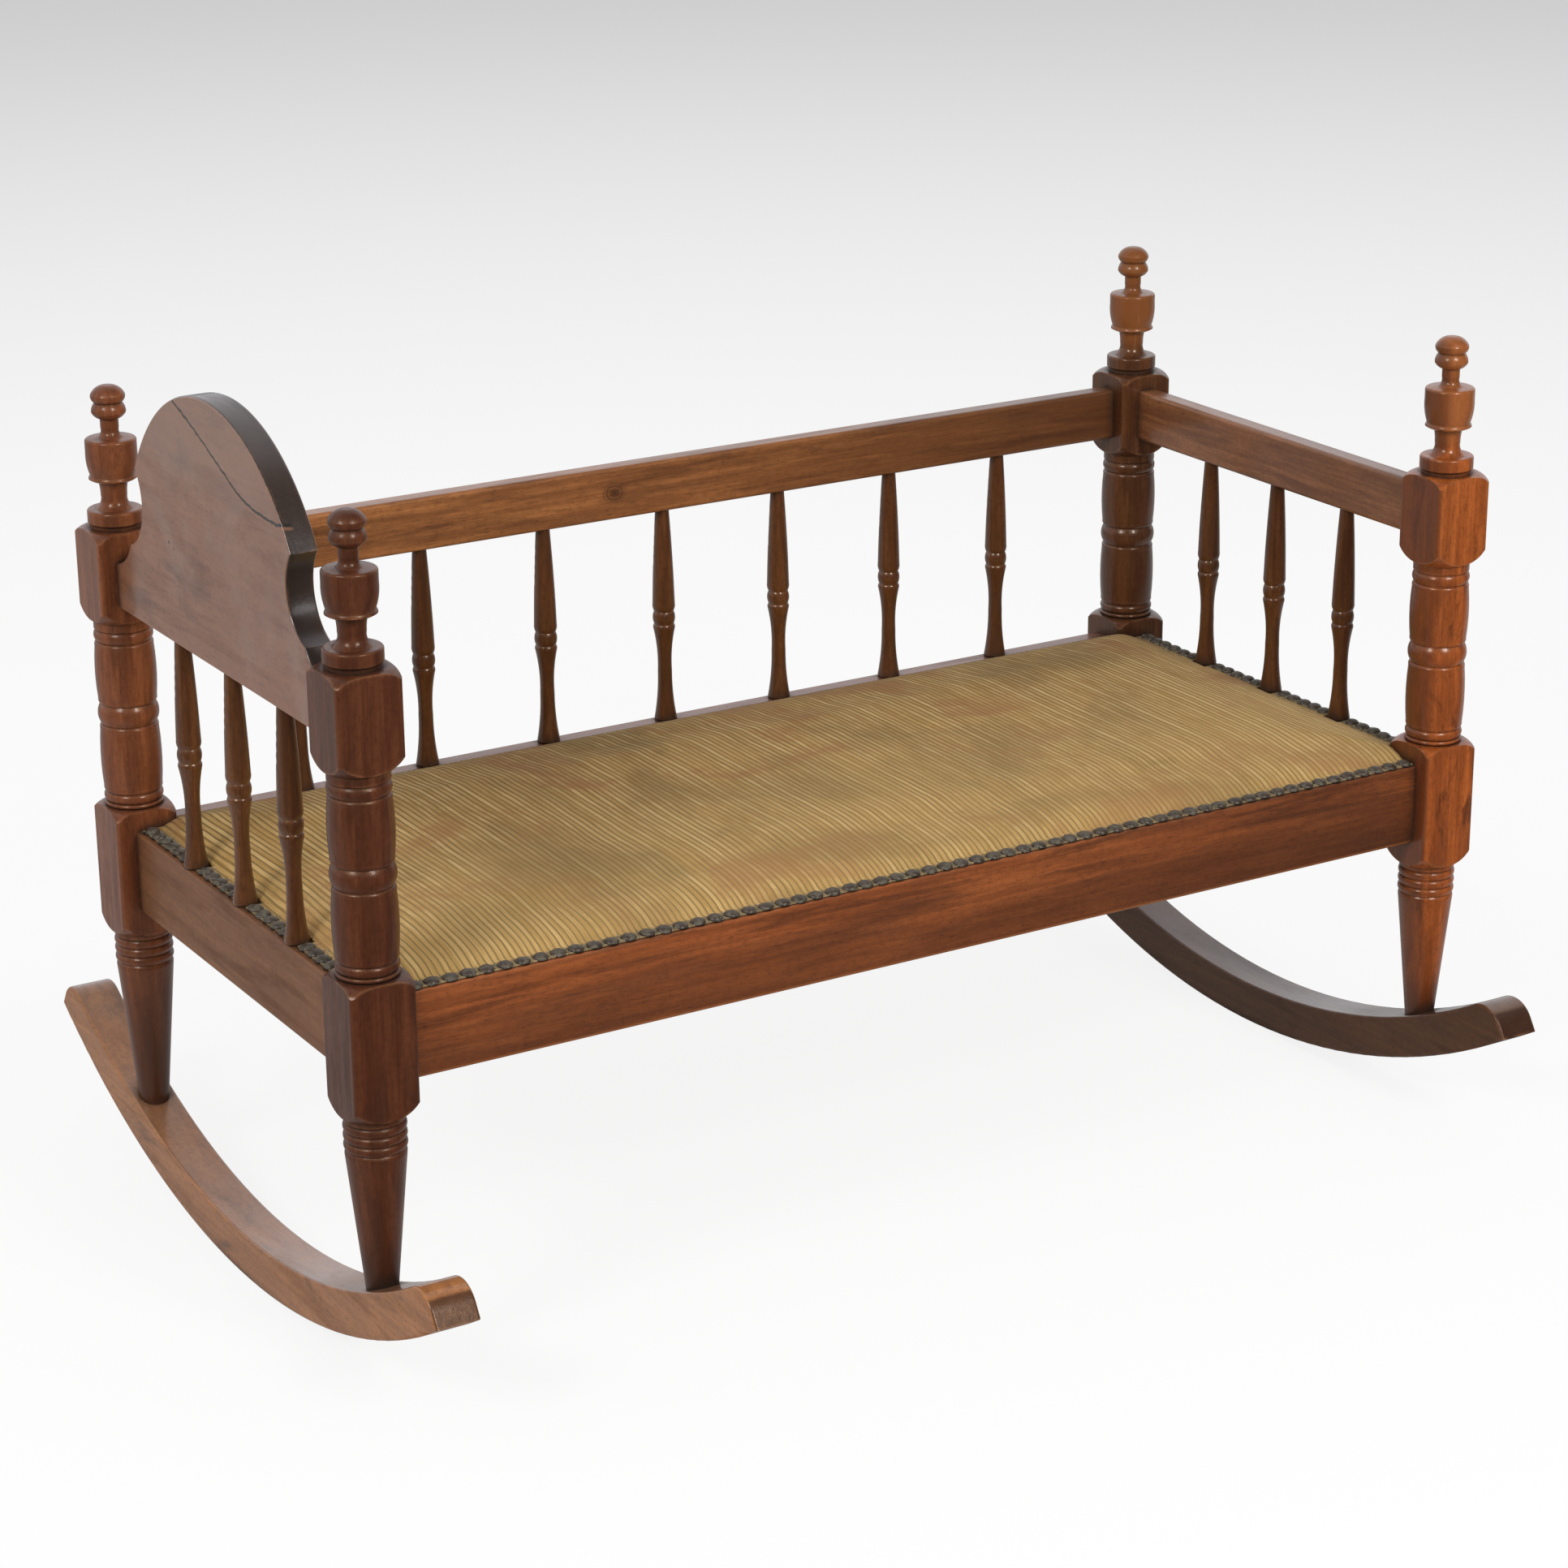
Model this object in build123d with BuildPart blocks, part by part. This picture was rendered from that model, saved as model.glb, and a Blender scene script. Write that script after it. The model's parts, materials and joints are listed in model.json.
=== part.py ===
"""Rocking cradle bench: four turned posts on two rockers, a nailed seat, spindles and a headboard.

Millimetres. X runs from the head end (-X, with the headboard) to the foot end (+X), -Y is the
open front, +Z is up. The origin is on the floor under the middle of the rockers.
"""
from build123d import *
import os
from math import asin, cos, hypot, pi, sin, sqrt

os.makedirs("parts", exist_ok=True)

# Plan of the frame
post_spacing_x = 870.0
post_spacing_y = 387.0
frame_shift_y = -12.0

# Fits
joint_clearance = 0.1
soft_clearance = 0.3

# Rockers
rocker_radius = 600.0
rocker_thickness = 32.0
rocker_width = 32.0
rocker_half_span = 318.0
rocker_nose_radius = 21.0
rocker_edge_radius = 2.0

# Posts: square blocks
post_size = 46.0
post_corner_radius = 3.5
leg_top_height = 194.0
lower_block_height = 96.5
upper_block_height = 67.0
block_foot_height = 14.0
block_foot_bulge = 1.8
block_shoulder_radius = 12.0

# Posts: turned leg
leg_top_radius = 20.3
leg_foot_radius = 10.8
leg_tenon_radius = 8.0
leg_tenon_depth = 24.0
leg_neck_height = 3.5
leg_ring_height = 6.6
leg_ring_count = 3
leg_round_height = 3.5

# Posts: turned column between the blocks
turned_radius = 20.9
groove_radius = 19.3
neck_radius = 20.4
foot_ring_height = 3.5
low_bead_height = 7.0
low_barrel_height = 50.0
barrel_radius = 21.6
barrel_end_height = 3.5
middle_bead_height = 15.0
high_barrel_height = 46.0
high_bead_height = 8.5
column_neck_height = 6.5

# Posts: finial
collar_gap = 2.5
collar_height = 10.5
collar_radius = 19.4
collar_edge = 1.6
lower_neck_height = 19.0
lower_neck_radius = 9.2
ring_height = 5.0
ring_radius = 16.8
cup_height = 26.0
cup_foot_radius = 15.6
cup_radius = 17.9
cup_rim_round = 2.0
upper_neck_height = 13.5
upper_neck_radius = 6.4
lower_knob_height = 11.5
knob_radius = 12.0
knob_groove_radius = 9.5
upper_knob_height = 12.0

# Seat rails
seat_height = 275.0
seat_rail_height = 60.0
seat_rail_thickness = 18.0
rail_edge_radius = 1.6
seat_tenon_height = 40.0
seat_tenon_thickness = 9.0
tenon_length = 14.0

# Top rails
top_rail_bottom = 442.0
top_rail_height = 40.0
top_rail_thickness = 17.0
top_rail_edge_radius = 3.0
top_tenon_height = 26.0
top_tenon_thickness = 8.0

# Headboard
headboard_thickness = 20.0
headboard_rise = 181.5
headboard_edge_radius = 1.8
arch_radius = 148.0
arch_half_width = 127.5
scoop_end_half_width = 143.5
scoop_foot_rise = 20.0
scoop_depth = 16.5
ear_rise = 32.0
ear_sag = 4.0
headboard_tenon_height = 24.0
headboard_tenon_lift = 4.0
headboard_tenon_thickness = 9.0

# Spindles
back_spindle_count = 7
back_spindle_pitch = 101.7
end_spindle_count = 3
end_spindle_pitch = 84.0
spindle_top_radius = 5.2
spindle_swell_radius = 8.6
spindle_swell_height = 93.0
spindle_groove_radius = 7.5
spindle_round_height = 6.0
spindle_bead_height = 10.0
spindle_ring_height = 3.0
spindle_waist_radius = 5.5
spindle_waist_height = 39.0
spindle_base_radius = 8.6
spindle_foot_round = 2.0
spindle_low_tenon_radius = 4.5
spindle_low_tenon_length = 15.0
spindle_high_tenon_radius = 3.5
spindle_high_tenon_length = 12.0

# Seat boards and the cleats that carry them
cleat_size = 18.0
cleat_end_gap = 1.0
board_thickness = 9.0
board_count = 6
board_gap = 1.0
board_end_gap = 0.5
board_nail_head_radius = 2.4
board_nail_head_height = 1.2
board_nail_shank_radius = 1.1
board_nail_length = 24.0
board_nail_inset = 22.0
cleat_screw_count = 5
cleat_screw_pitch = 180.0
cleat_screw_length = 26.0
cleat_screw_radius = 2.0
cleat_screw_head_radius = 4.0

# Upholstery
cover_thickness = 1.2
cover_end_bare_strip = 5.0
cover_front_bare_strip = 2.5
cover_back_lap = 1.0
cover_notch_gap = 0.5
cover_hem_width = 11.0
crown_end_inset = 10.0
crown_front_inset = 13.0
crown_corner_radius = 58.0
crown_height = 15.0
crown_flat_inset = 70.0
tack_head_radius = 2.5
tack_head_height = 0.8
tack_shank_radius = 0.7
tack_length = 14.0
tack_pocket_gap = 0.4
tack_edge_distance = 5.0
tack_offset = 25.0

# Dome-headed upholstery nails
nail_head_radius = 5.5
nail_head_height = 3.0
nail_shank_radius = 0.8
nail_length = 13.0
nail_hole_gap = 0.05
front_nail_count = 63
front_nail_pitch = 13.08
front_nail_inset = 6.0
end_nail_pitch = 12.6
end_nail_inner_count = 5
end_nail_outer_count = 6

# Places worked out from the sizes above
post_half = post_size / 2
post_x = post_spacing_x / 2
front_y = frame_shift_y - post_spacing_y / 2
back_y = frame_shift_y + post_spacing_y / 2
clear_x = post_spacing_x - post_size
clear_y = post_spacing_y - post_size
rocker_top_radius = rocker_radius - rocker_thickness
lower_block_top = leg_top_height + lower_block_height
column_height = (foot_ring_height + low_bead_height + low_barrel_height + middle_bead_height
                 + high_barrel_height + high_bead_height + column_neck_height)
upper_block_bottom = lower_block_top + column_height
upper_block_top = upper_block_bottom + upper_block_height
finial_height = (collar_gap + collar_height + lower_neck_height + ring_height + cup_height
                 + upper_neck_height + lower_knob_height + upper_knob_height)
post_top = upper_block_top + finial_height
seat_rail_middle = seat_height - seat_rail_height / 2
top_rail_middle = top_rail_bottom + top_rail_height / 2
spindle_length = top_rail_bottom - seat_height
board_bottom = seat_height - board_thickness
rail_half = seat_rail_thickness / 2
back_spindle_xs = [(i - (back_spindle_count - 1) / 2) * back_spindle_pitch
                   for i in range(back_spindle_count)]
end_spindle_ys = [frame_shift_y + (i - (end_spindle_count - 1) / 2) * end_spindle_pitch
                  for i in range(end_spindle_count)]
front_nail_y = front_y - rail_half + front_nail_inset
front_nail_points = [((i - (front_nail_count - 1) / 2) * front_nail_pitch, front_nail_y)
                     for i in range(front_nail_count)]


def rocker_seat(y):
    """Height of the rocker's upper face at a distance y from its middle."""
    return rocker_radius - sqrt(rocker_top_radius ** 2 - y ** 2)


def row(middle, pitch, count):
    """Evenly spaced places around a middle."""
    return [middle + (i - (count - 1) / 2) * pitch for i in range(count)]


def end_nail_ys():
    """Places of the nails along one end rail, in the bays between the spindles and the posts."""
    places = []
    for low, high in zip(end_spindle_ys, end_spindle_ys[1:]):
        places += row((low + high) / 2, end_nail_pitch, end_nail_inner_count)
    low_bay = (front_y + post_half + end_spindle_ys[0] - spindle_base_radius) / 2
    high_bay = (back_y - post_half + end_spindle_ys[-1] + spindle_base_radius) / 2
    for bay in (low_bay, high_bay):
        places += row(bay, end_nail_pitch, end_nail_outer_count)
    return sorted(places)


def bead(start, height, crest):
    """A convex turned bead that rises from start and comes back to the same radius."""
    end = (start[0], start[1] + height)
    ThreePointArc(start, (crest, start[1] + height / 2), end)
    return end


def straight(start, end):
    """A straight stretch of a turned outline."""
    Line(start, end)
    return end


def curve(start, bulge, end):
    """An arc from start to end, bulge millimetres to the right of the straight line."""
    run = (end[0] - start[0], end[1] - start[1])
    length = hypot(*run)
    middle = ((start[0] + end[0]) / 2 + run[1] / length * bulge,
              (start[1] + end[1]) / 2 - run[0] / length * bulge)
    ThreePointArc(start, middle, end)
    return end


def barrel(start, height):
    """A long barrel with rounded ends and a slightly swelling middle."""
    z0 = start[1]
    point = curve(start, 0.6, (turned_radius - 0.3, z0 + barrel_end_height))
    point = curve(point, barrel_radius - turned_radius + 0.3,
                  (turned_radius - 0.3, z0 + height - barrel_end_height))
    return curve(point, 0.6, (start[0], z0 + height))


def block(start, height):
    """The turned ends of a square block: a coned foot below and a rounded shoulder above."""
    corner = hypot(post_half, post_half)
    z0 = start[1]
    point = curve(start, block_foot_bulge, (corner, z0 + block_foot_height))
    top_radius = corner - block_shoulder_radius
    point = straight(point, (corner, z0 + height - block_shoulder_radius))
    quarter = block_shoulder_radius * sin(pi / 4)
    ThreePointArc(point, (top_radius + quarter, z0 + height - block_shoulder_radius + quarter),
                  (top_radius, z0 + height))
    return (top_radius, z0 + height)


def post_outline(foot_z):
    """Half section of a post, from the leg's foot to the tip of the finial."""
    point = straight((0, foot_z - leg_foot_radius), (leg_foot_radius, foot_z - leg_foot_radius))
    point = straight(point, (leg_foot_radius, foot_z))
    rings_bottom = leg_top_height - leg_neck_height - leg_ring_count * leg_ring_height
    point = straight(point, (leg_top_radius, rings_bottom - leg_round_height))
    point = curve(point, 0.4, (groove_radius, rings_bottom))
    for _ in range(leg_ring_count):
        point = bead(point, leg_ring_height, turned_radius)
    point = straight(point, (neck_radius, point[1] + 1))
    point = straight(point, (neck_radius, leg_top_height))

    point = block(point, lower_block_height)

    point = straight(point, (groove_radius, point[1]))
    point = bead(point, foot_ring_height, turned_radius)
    point = bead(point, low_bead_height, turned_radius)
    point = barrel(point, low_barrel_height)
    point = bead(point, middle_bead_height, barrel_radius)
    point = barrel(point, high_barrel_height)
    point = bead(point, high_bead_height, turned_radius)
    point = straight(point, (neck_radius, point[1] + 1))
    point = straight(point, (neck_radius, upper_block_bottom))

    point = block(point, upper_block_height)

    point = straight(point, (collar_radius - collar_edge, point[1]))
    point = straight(point, (collar_radius - collar_edge, point[1] + collar_gap))
    point = curve(point, 0.3, (collar_radius, point[1] + collar_edge))
    point = straight(point, (collar_radius, point[1] + collar_height - 2 * collar_edge))
    point = curve(point, 0.4, (collar_radius - collar_edge, point[1] + collar_edge))
    point = straight(point, (lower_neck_radius + 4, point[1]))
    half_neck = lower_neck_height / 2
    point = curve(point, -1.6, (lower_neck_radius, point[1] + half_neck))
    point = curve(point, -0.3, (lower_neck_radius + 1, point[1] + half_neck))
    point = curve(point, 0.4, (ring_radius, point[1] + ring_height / 2))
    point = curve(point, 0.3, (cup_foot_radius, point[1] + ring_height / 2))
    point = curve(point, 0.9, (cup_radius, point[1] + cup_height * 2 / 3))
    point = straight(point, (cup_radius, point[1] + cup_height / 3 - cup_rim_round))
    point = curve(point, 0.6, (cup_radius - cup_rim_round, point[1] + cup_rim_round))
    point = straight(point, (upper_neck_radius + 2.5, point[1] + 0.5))
    point = curve(point, -1.2, (upper_neck_radius, point[1] + upper_neck_height / 2))
    point = straight(point, (upper_neck_radius, point[1] + upper_neck_height / 2 - 0.5))
    point = curve(point, 0.8, (knob_radius, point[1] + lower_knob_height * 0.4))
    point = curve(point, 0.7, (knob_groove_radius, point[1] + lower_knob_height * 0.6))
    point = curve(point, 0.9, (knob_radius, point[1] + upper_knob_height * 0.45))
    point = curve(point, 2.4, (0, point[1] + upper_knob_height * 0.55))
    Line(point, (0, foot_z - leg_foot_radius))


def cut_mortise(face_x, face_y, direction, height, thickness, middle):
    """A mortise from the post's centre line out through the face that direction points to."""
    deep = tenon_length + joint_clearance
    plane = Plane(origin=(face_x, face_y, middle), x_dir=Vector(-direction[1], direction[0], 0),
                  z_dir=Vector(direction[0], direction[1], 0))
    with BuildSketch(plane) as mouth:
        Rectangle(thickness + 2 * joint_clearance, height + 2 * joint_clearance)
    extrude(mouth.sketch, amount=-deep, dir=plane.z_dir, mode=Mode.SUBTRACT)


def make_post(name, side_x, y, mortises):
    """One turned post. mortises lists (direction, height, thickness, middle) for each tenon."""
    x = side_x * post_x
    foot_z = rocker_seat(y)
    with BuildPart() as post:
        with BuildSketch(Plane(origin=(x, y, 0), x_dir=(1, 0, 0), z_dir=(0, -1, 0))):
            with BuildLine():
                post_outline(foot_z)
            make_face()
        revolve(axis=Axis((x, y, 0), (0, 0, 1)))
        with BuildSketch(Plane.XY):
            with Locations((x, y)):
                RectangleRounded(post_size, post_size, post_corner_radius)
        extrude(amount=post_top, mode=Mode.INTERSECT)
        with BuildSketch(Plane.YZ.offset(x)):
            with Locations((0, rocker_radius)):
                Circle(rocker_top_radius - joint_clearance)
        extrude(amount=post_size, both=True, mode=Mode.INTERSECT)
        with BuildSketch(Plane.XY.offset(foot_z - leg_tenon_depth)):
            with Locations((x, y)):
                Circle(leg_tenon_radius)
        extrude(amount=leg_tenon_depth + leg_foot_radius)
        for direction, height, thickness, middle in mortises:
            cut_mortise(x + direction[0] * post_half, y + direction[1] * post_half,
                        direction, height, thickness, middle)
    post.part.label = name
    export_step(post.part, f"parts/{name}.step")


seat_mortise = (seat_tenon_height, seat_tenon_thickness, seat_rail_middle)
top_mortise = (top_tenon_height, top_tenon_thickness, top_rail_middle)
headboard_tenon_middle = top_rail_bottom + headboard_tenon_lift + headboard_tenon_height / 2
headboard_mortise = (headboard_tenon_height, headboard_tenon_thickness, headboard_tenon_middle)
to_head = (-1, 0)
to_foot = (1, 0)
to_front = (0, -1)
to_back = (0, 1)

make_post("post_head_front", -1, front_y,
          [(to_foot, *seat_mortise), (to_back, *seat_mortise), (to_back, *headboard_mortise)])
make_post("post_head_back", -1, back_y,
          [(to_foot, *seat_mortise), (to_front, *seat_mortise),
           (to_foot, *top_mortise), (to_front, *headboard_mortise)])
make_post("post_foot_front", 1, front_y,
          [(to_head, *seat_mortise), (to_back, *seat_mortise), (to_back, *top_mortise)])
make_post("post_foot_back", 1, back_y,
          [(to_head, *seat_mortise), (to_front, *seat_mortise),
           (to_head, *top_mortise), (to_front, *top_mortise)])


# Rockers, one under each end
tip_angle = asin(rocker_half_span / rocker_radius)


def rocker_point(radius, angle):
    """A point of the rocker's side, from the middle of its arcs."""
    return (radius * sin(angle), rocker_radius - radius * cos(angle))


for name, side_x in (("rocker_head", -1), ("rocker_foot", 1)):
    with BuildPart() as rocker:
        with BuildSketch(Plane.YZ.offset(side_x * post_x - rocker_width / 2)) as side:
            with BuildLine():
                ThreePointArc(rocker_point(rocker_radius, -tip_angle), (0, 0),
                              rocker_point(rocker_radius, tip_angle))
                Line(rocker_point(rocker_radius, tip_angle), rocker_point(rocker_top_radius, tip_angle))
                ThreePointArc(rocker_point(rocker_top_radius, tip_angle), (0, rocker_thickness),
                              rocker_point(rocker_top_radius, -tip_angle))
                Line(rocker_point(rocker_top_radius, -tip_angle), rocker_point(rocker_radius, -tip_angle))
            make_face()
            fillet(side.vertices().group_by(Axis.Y)[-1], radius=rocker_nose_radius)
        extrude(amount=rocker_width)
        side_faces = rocker.faces().filter_by(Axis.X)
        fillet(side_faces.edges(), radius=rocker_edge_radius)
        for y in (front_y, back_y):
            socket_bottom = rocker_seat(y) - leg_tenon_depth - joint_clearance
            with BuildSketch(Plane.XY.offset(socket_bottom)):
                with Locations((side_x * post_x, y)):
                    Circle(leg_tenon_radius + joint_clearance)
            extrude(amount=leg_tenon_depth + rocker_thickness, mode=Mode.SUBTRACT)
    rocker.part.label = name
    export_step(rocker.part, f"parts/{name}.step")


def drill(points, level, depth, radius):
    """Vertical holes from a level, down for a positive depth and up for a negative one."""
    with BuildSketch(Plane.XY.offset(level)) as holes:
        with Locations(*points):
            Circle(radius)
    extrude(holes.sketch, amount=-depth, dir=(0, 0, 1), mode=Mode.SUBTRACT)


def make_rail(name, plane, length, section, tenon, low_sockets, high_sockets, nail_points, screw_points):
    """A straight rail with a tenon at each end and sockets for what is driven into it.

    section is (thickness, height, edge radius, middle height), tenon is (thickness, height).
    low_sockets are in the upper face for the spindles' feet, high_sockets in the lower face.
    """
    thickness, height, edge_radius, middle = section
    with BuildPart() as rail:
        with BuildSketch(plane):
            RectangleRounded(thickness, height, edge_radius)
        extrude(amount=length / 2, both=True)
        with BuildSketch(plane):
            Rectangle(*tenon)
        extrude(amount=length / 2 + tenon_length, both=True)
        if low_sockets:
            drill(low_sockets, middle + height / 2, spindle_low_tenon_length + joint_clearance,
                  spindle_low_tenon_radius + joint_clearance)
        if high_sockets:
            drill(high_sockets, middle - height / 2, -spindle_high_tenon_length - joint_clearance,
                  spindle_high_tenon_radius + joint_clearance)
        if nail_points:
            drill(nail_points, middle + height / 2, nail_length - cover_thickness + nail_hole_gap,
                  nail_shank_radius + nail_hole_gap)
        for screw_plane in screw_points:
            with BuildSketch(screw_plane):
                Circle(cleat_screw_radius + joint_clearance)
            extrude(amount=-cleat_screw_length - joint_clearance, mode=Mode.SUBTRACT)
    rail.part.label = name
    export_step(rail.part, f"parts/{name}.step")


def along_x(y, middle):
    """The middle plane of a rail that runs along X."""
    return Plane(origin=(0, y, middle), x_dir=(0, 1, 0), z_dir=(1, 0, 0))


def along_y(x, middle):
    """The middle plane of a rail that runs along Y."""
    return Plane(origin=(x, frame_shift_y, middle), x_dir=(1, 0, 0), z_dir=(0, -1, 0))


# Cleat screws are driven outwards, from the cleat's inner face into the rail
cleat_middle = board_bottom - cleat_size / 2
cleat_offset = rail_half + cleat_size / 2
screw_xs = row(0, cleat_screw_pitch, cleat_screw_count)


def screw_planes(rail_y, outward):
    """The planes of the cleat's inner face at each screw, facing into the seat."""
    face_y = rail_y - outward * (rail_half + cleat_size)
    return [Plane(origin=(x, face_y, cleat_middle), x_dir=(1, 0, 0), z_dir=(0, -outward, 0))
            for x in screw_xs]


seat_section = (seat_rail_thickness, seat_rail_height, rail_edge_radius, seat_rail_middle)
top_section = (top_rail_thickness, top_rail_height, top_rail_edge_radius, top_rail_middle)
seat_tenon = (seat_tenon_thickness, seat_tenon_height)
top_tenon = (top_tenon_thickness, top_tenon_height)
back_points = [(x, back_y) for x in back_spindle_xs]
head_points = [(-post_x, y) for y in end_spindle_ys]
foot_points = [(post_x, y) for y in end_spindle_ys]
head_nail_points = [(-post_x, y) for y in end_nail_ys()]
foot_nail_points = [(post_x, y) for y in end_nail_ys()]

make_rail("seat_rail_front", along_x(front_y, seat_rail_middle), clear_x, seat_section, seat_tenon,
          [], [], front_nail_points, screw_planes(front_y, -1))
make_rail("seat_rail_back", along_x(back_y, seat_rail_middle), clear_x, seat_section, seat_tenon,
          back_points, [], [], screw_planes(back_y, 1))
make_rail("seat_rail_head", along_y(-post_x, seat_rail_middle), clear_y, seat_section, seat_tenon,
          head_points, [], head_nail_points, [])
make_rail("seat_rail_foot", along_y(post_x, seat_rail_middle), clear_y, seat_section, seat_tenon,
          foot_points, [], foot_nail_points, [])
make_rail("top_rail_back", along_x(back_y, top_rail_middle), clear_x, top_section, top_tenon,
          [], back_points, [], [])
make_rail("top_rail_foot", along_y(post_x, top_rail_middle), clear_y, top_section, top_tenon,
          [], foot_points, [], [])


# Headboard: an arch over a pair of scoops, on a straight foot between the upper blocks
headboard_top = top_rail_bottom + headboard_rise
ear_height = top_rail_bottom + ear_rise
scoop_end_height = ear_height + scoop_foot_rise
arch_centre = headboard_top - arch_radius
arch_foot = arch_centre + sqrt(arch_radius ** 2 - arch_half_width ** 2)
arch_middle = asin(arch_half_width / arch_radius) / 2

with BuildPart() as headboard:
    headboard_plane = Plane(origin=(-post_x - headboard_thickness / 2, frame_shift_y, 0),
                            x_dir=(0, 1, 0), z_dir=(1, 0, 0))
    with BuildSketch(headboard_plane):
        with BuildLine() as outline:
            Line((0, top_rail_bottom), (clear_y / 2, top_rail_bottom))
            Line((clear_y / 2, top_rail_bottom), (clear_y / 2, ear_height))
            curve((clear_y / 2, ear_height), -ear_sag, (scoop_end_half_width, scoop_end_height))
            curve((scoop_end_half_width, scoop_end_height), -scoop_depth, (arch_half_width, arch_foot))
            ThreePointArc((arch_half_width, arch_foot),
                          (arch_radius * sin(arch_middle), arch_centre + arch_radius * cos(arch_middle)),
                          (0, headboard_top))
            mirror(about=Plane.YZ)
        make_face()
    extrude(amount=headboard_thickness)
    rim = headboard.edges().filter_by(Axis.X, reverse=True)
    rim = rim.filter_by(lambda edge: edge.center().Z > ear_height + headboard_edge_radius)
    fillet(rim, radius=headboard_edge_radius)
    tenon_plane = Plane(origin=(-post_x, frame_shift_y, headboard_tenon_middle),
                        x_dir=(1, 0, 0), z_dir=(0, -1, 0))
    with BuildSketch(tenon_plane):
        Rectangle(headboard_tenon_thickness, headboard_tenon_height)
    extrude(amount=clear_y / 2 + tenon_length, both=True)
    drill(head_points, top_rail_bottom, -spindle_high_tenon_length - joint_clearance,
          spindle_high_tenon_radius + joint_clearance)
headboard.part.label = "headboard"
export_step(headboard.part, "parts/headboard.step")


def spindle_outline():
    """Half section of a spindle, with its round tenon at each end."""
    base = seat_height
    point = straight((0, base - spindle_low_tenon_length),
                     (spindle_low_tenon_radius, base - spindle_low_tenon_length))
    point = straight(point, (spindle_low_tenon_radius, base))
    point = straight(point, (spindle_base_radius - 0.4, base))
    point = curve(point, 0.2, (spindle_base_radius, base + spindle_foot_round))
    bead_bottom = base + spindle_swell_height - spindle_round_height - spindle_bead_height
    waist = (spindle_waist_radius, base + spindle_waist_height)
    point = curve(point, -0.9, waist)
    point = curve(point, -1.2, (spindle_swell_radius - 0.2, bead_bottom - spindle_ring_height))
    point = curve(point, 0.3, (spindle_groove_radius, bead_bottom))
    point = curve(point, spindle_swell_radius - spindle_groove_radius,
                  (spindle_groove_radius, bead_bottom + spindle_bead_height))
    point = curve(point, 0.5, (spindle_swell_radius, base + spindle_swell_height))
    point = curve(point, 0.4, (spindle_top_radius, base + spindle_length))
    point = straight(point, (spindle_high_tenon_radius, point[1]))
    point = straight(point, (spindle_high_tenon_radius, point[1] + spindle_high_tenon_length))
    point = straight(point, (0, point[1]))
    Line(point, (0, base - spindle_low_tenon_length))


spindle_places = [(f"spindle_back_{i + 1}", point) for i, point in enumerate(back_points)]
spindle_places += [(f"spindle_head_{i + 1}", point) for i, point in enumerate(head_points)]
spindle_places += [(f"spindle_foot_{i + 1}", point) for i, point in enumerate(foot_points)]

for name, (x, y) in spindle_places:
    with BuildPart() as spindle:
        with BuildSketch(Plane(origin=(x, y, 0), x_dir=(1, 0, 0), z_dir=(0, -1, 0))):
            with BuildLine():
                spindle_outline()
            make_face()
        revolve(axis=Axis((x, y, 0), (0, 0, 1)))
    spindle.part.label = name
    export_step(spindle.part, f"parts/{name}.step")


# Cleats along the inner faces of the front and back rails, and the boards on them
board_half_run = post_x - rail_half - board_end_gap
board_width = (2 * board_half_run - (board_count - 1) * board_gap) / board_count
board_xs = row(0, board_width + board_gap, board_count)
board_half_length = post_spacing_y / 2 - rail_half - board_end_gap
cleat_ys = (front_y + cleat_offset, back_y - cleat_offset)
board_nail_offset = board_width / 2 - board_nail_inset
tack_y = back_y - rail_half - tack_edge_distance


def board_nail_points(x):
    """The two nails at each end of a board."""
    return [(x + side * board_nail_offset, y) for side in (-1, 1) for y in cleat_ys]


def tack_points(x):
    """The two tacks along the back end of a board."""
    return [(x - tack_offset, tack_y), (x + tack_offset, tack_y)]


all_board_nails = [point for x in board_xs for point in board_nail_points(x)]
all_tacks = [point for x in board_xs for point in tack_points(x)]

for name, rail_y, outward in (("cleat_front", front_y, -1), ("cleat_back", back_y, 1)):
    cleat_y = rail_y - outward * cleat_offset
    with BuildPart() as cleat:
        with BuildSketch(along_x(cleat_y, cleat_middle)):
            Rectangle(cleat_size, cleat_size)
        extrude(amount=clear_x / 2 - cleat_end_gap, both=True)
        drill([point for point in all_board_nails if point[1] == cleat_y], board_bottom,
              board_nail_length - board_thickness + nail_hole_gap,
              board_nail_shank_radius + nail_hole_gap)
        if outward > 0:
            drill(all_tacks, board_bottom,
                  tack_length - cover_thickness - board_thickness + nail_hole_gap,
                  tack_shank_radius + nail_hole_gap)
        for screw_plane in screw_planes(rail_y, outward):
            with BuildSketch(screw_plane):
                Circle(cleat_screw_radius + joint_clearance)
            extrude(amount=-cleat_size, mode=Mode.SUBTRACT)
            with BuildSketch(screw_plane):
                Circle(cleat_screw_head_radius + joint_clearance)
            extrude(amount=cleat_screw_radius - cleat_screw_head_radius, taper=45, mode=Mode.SUBTRACT)
    cleat.part.label = name
    export_step(cleat.part, f"parts/{name}.step")

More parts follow.
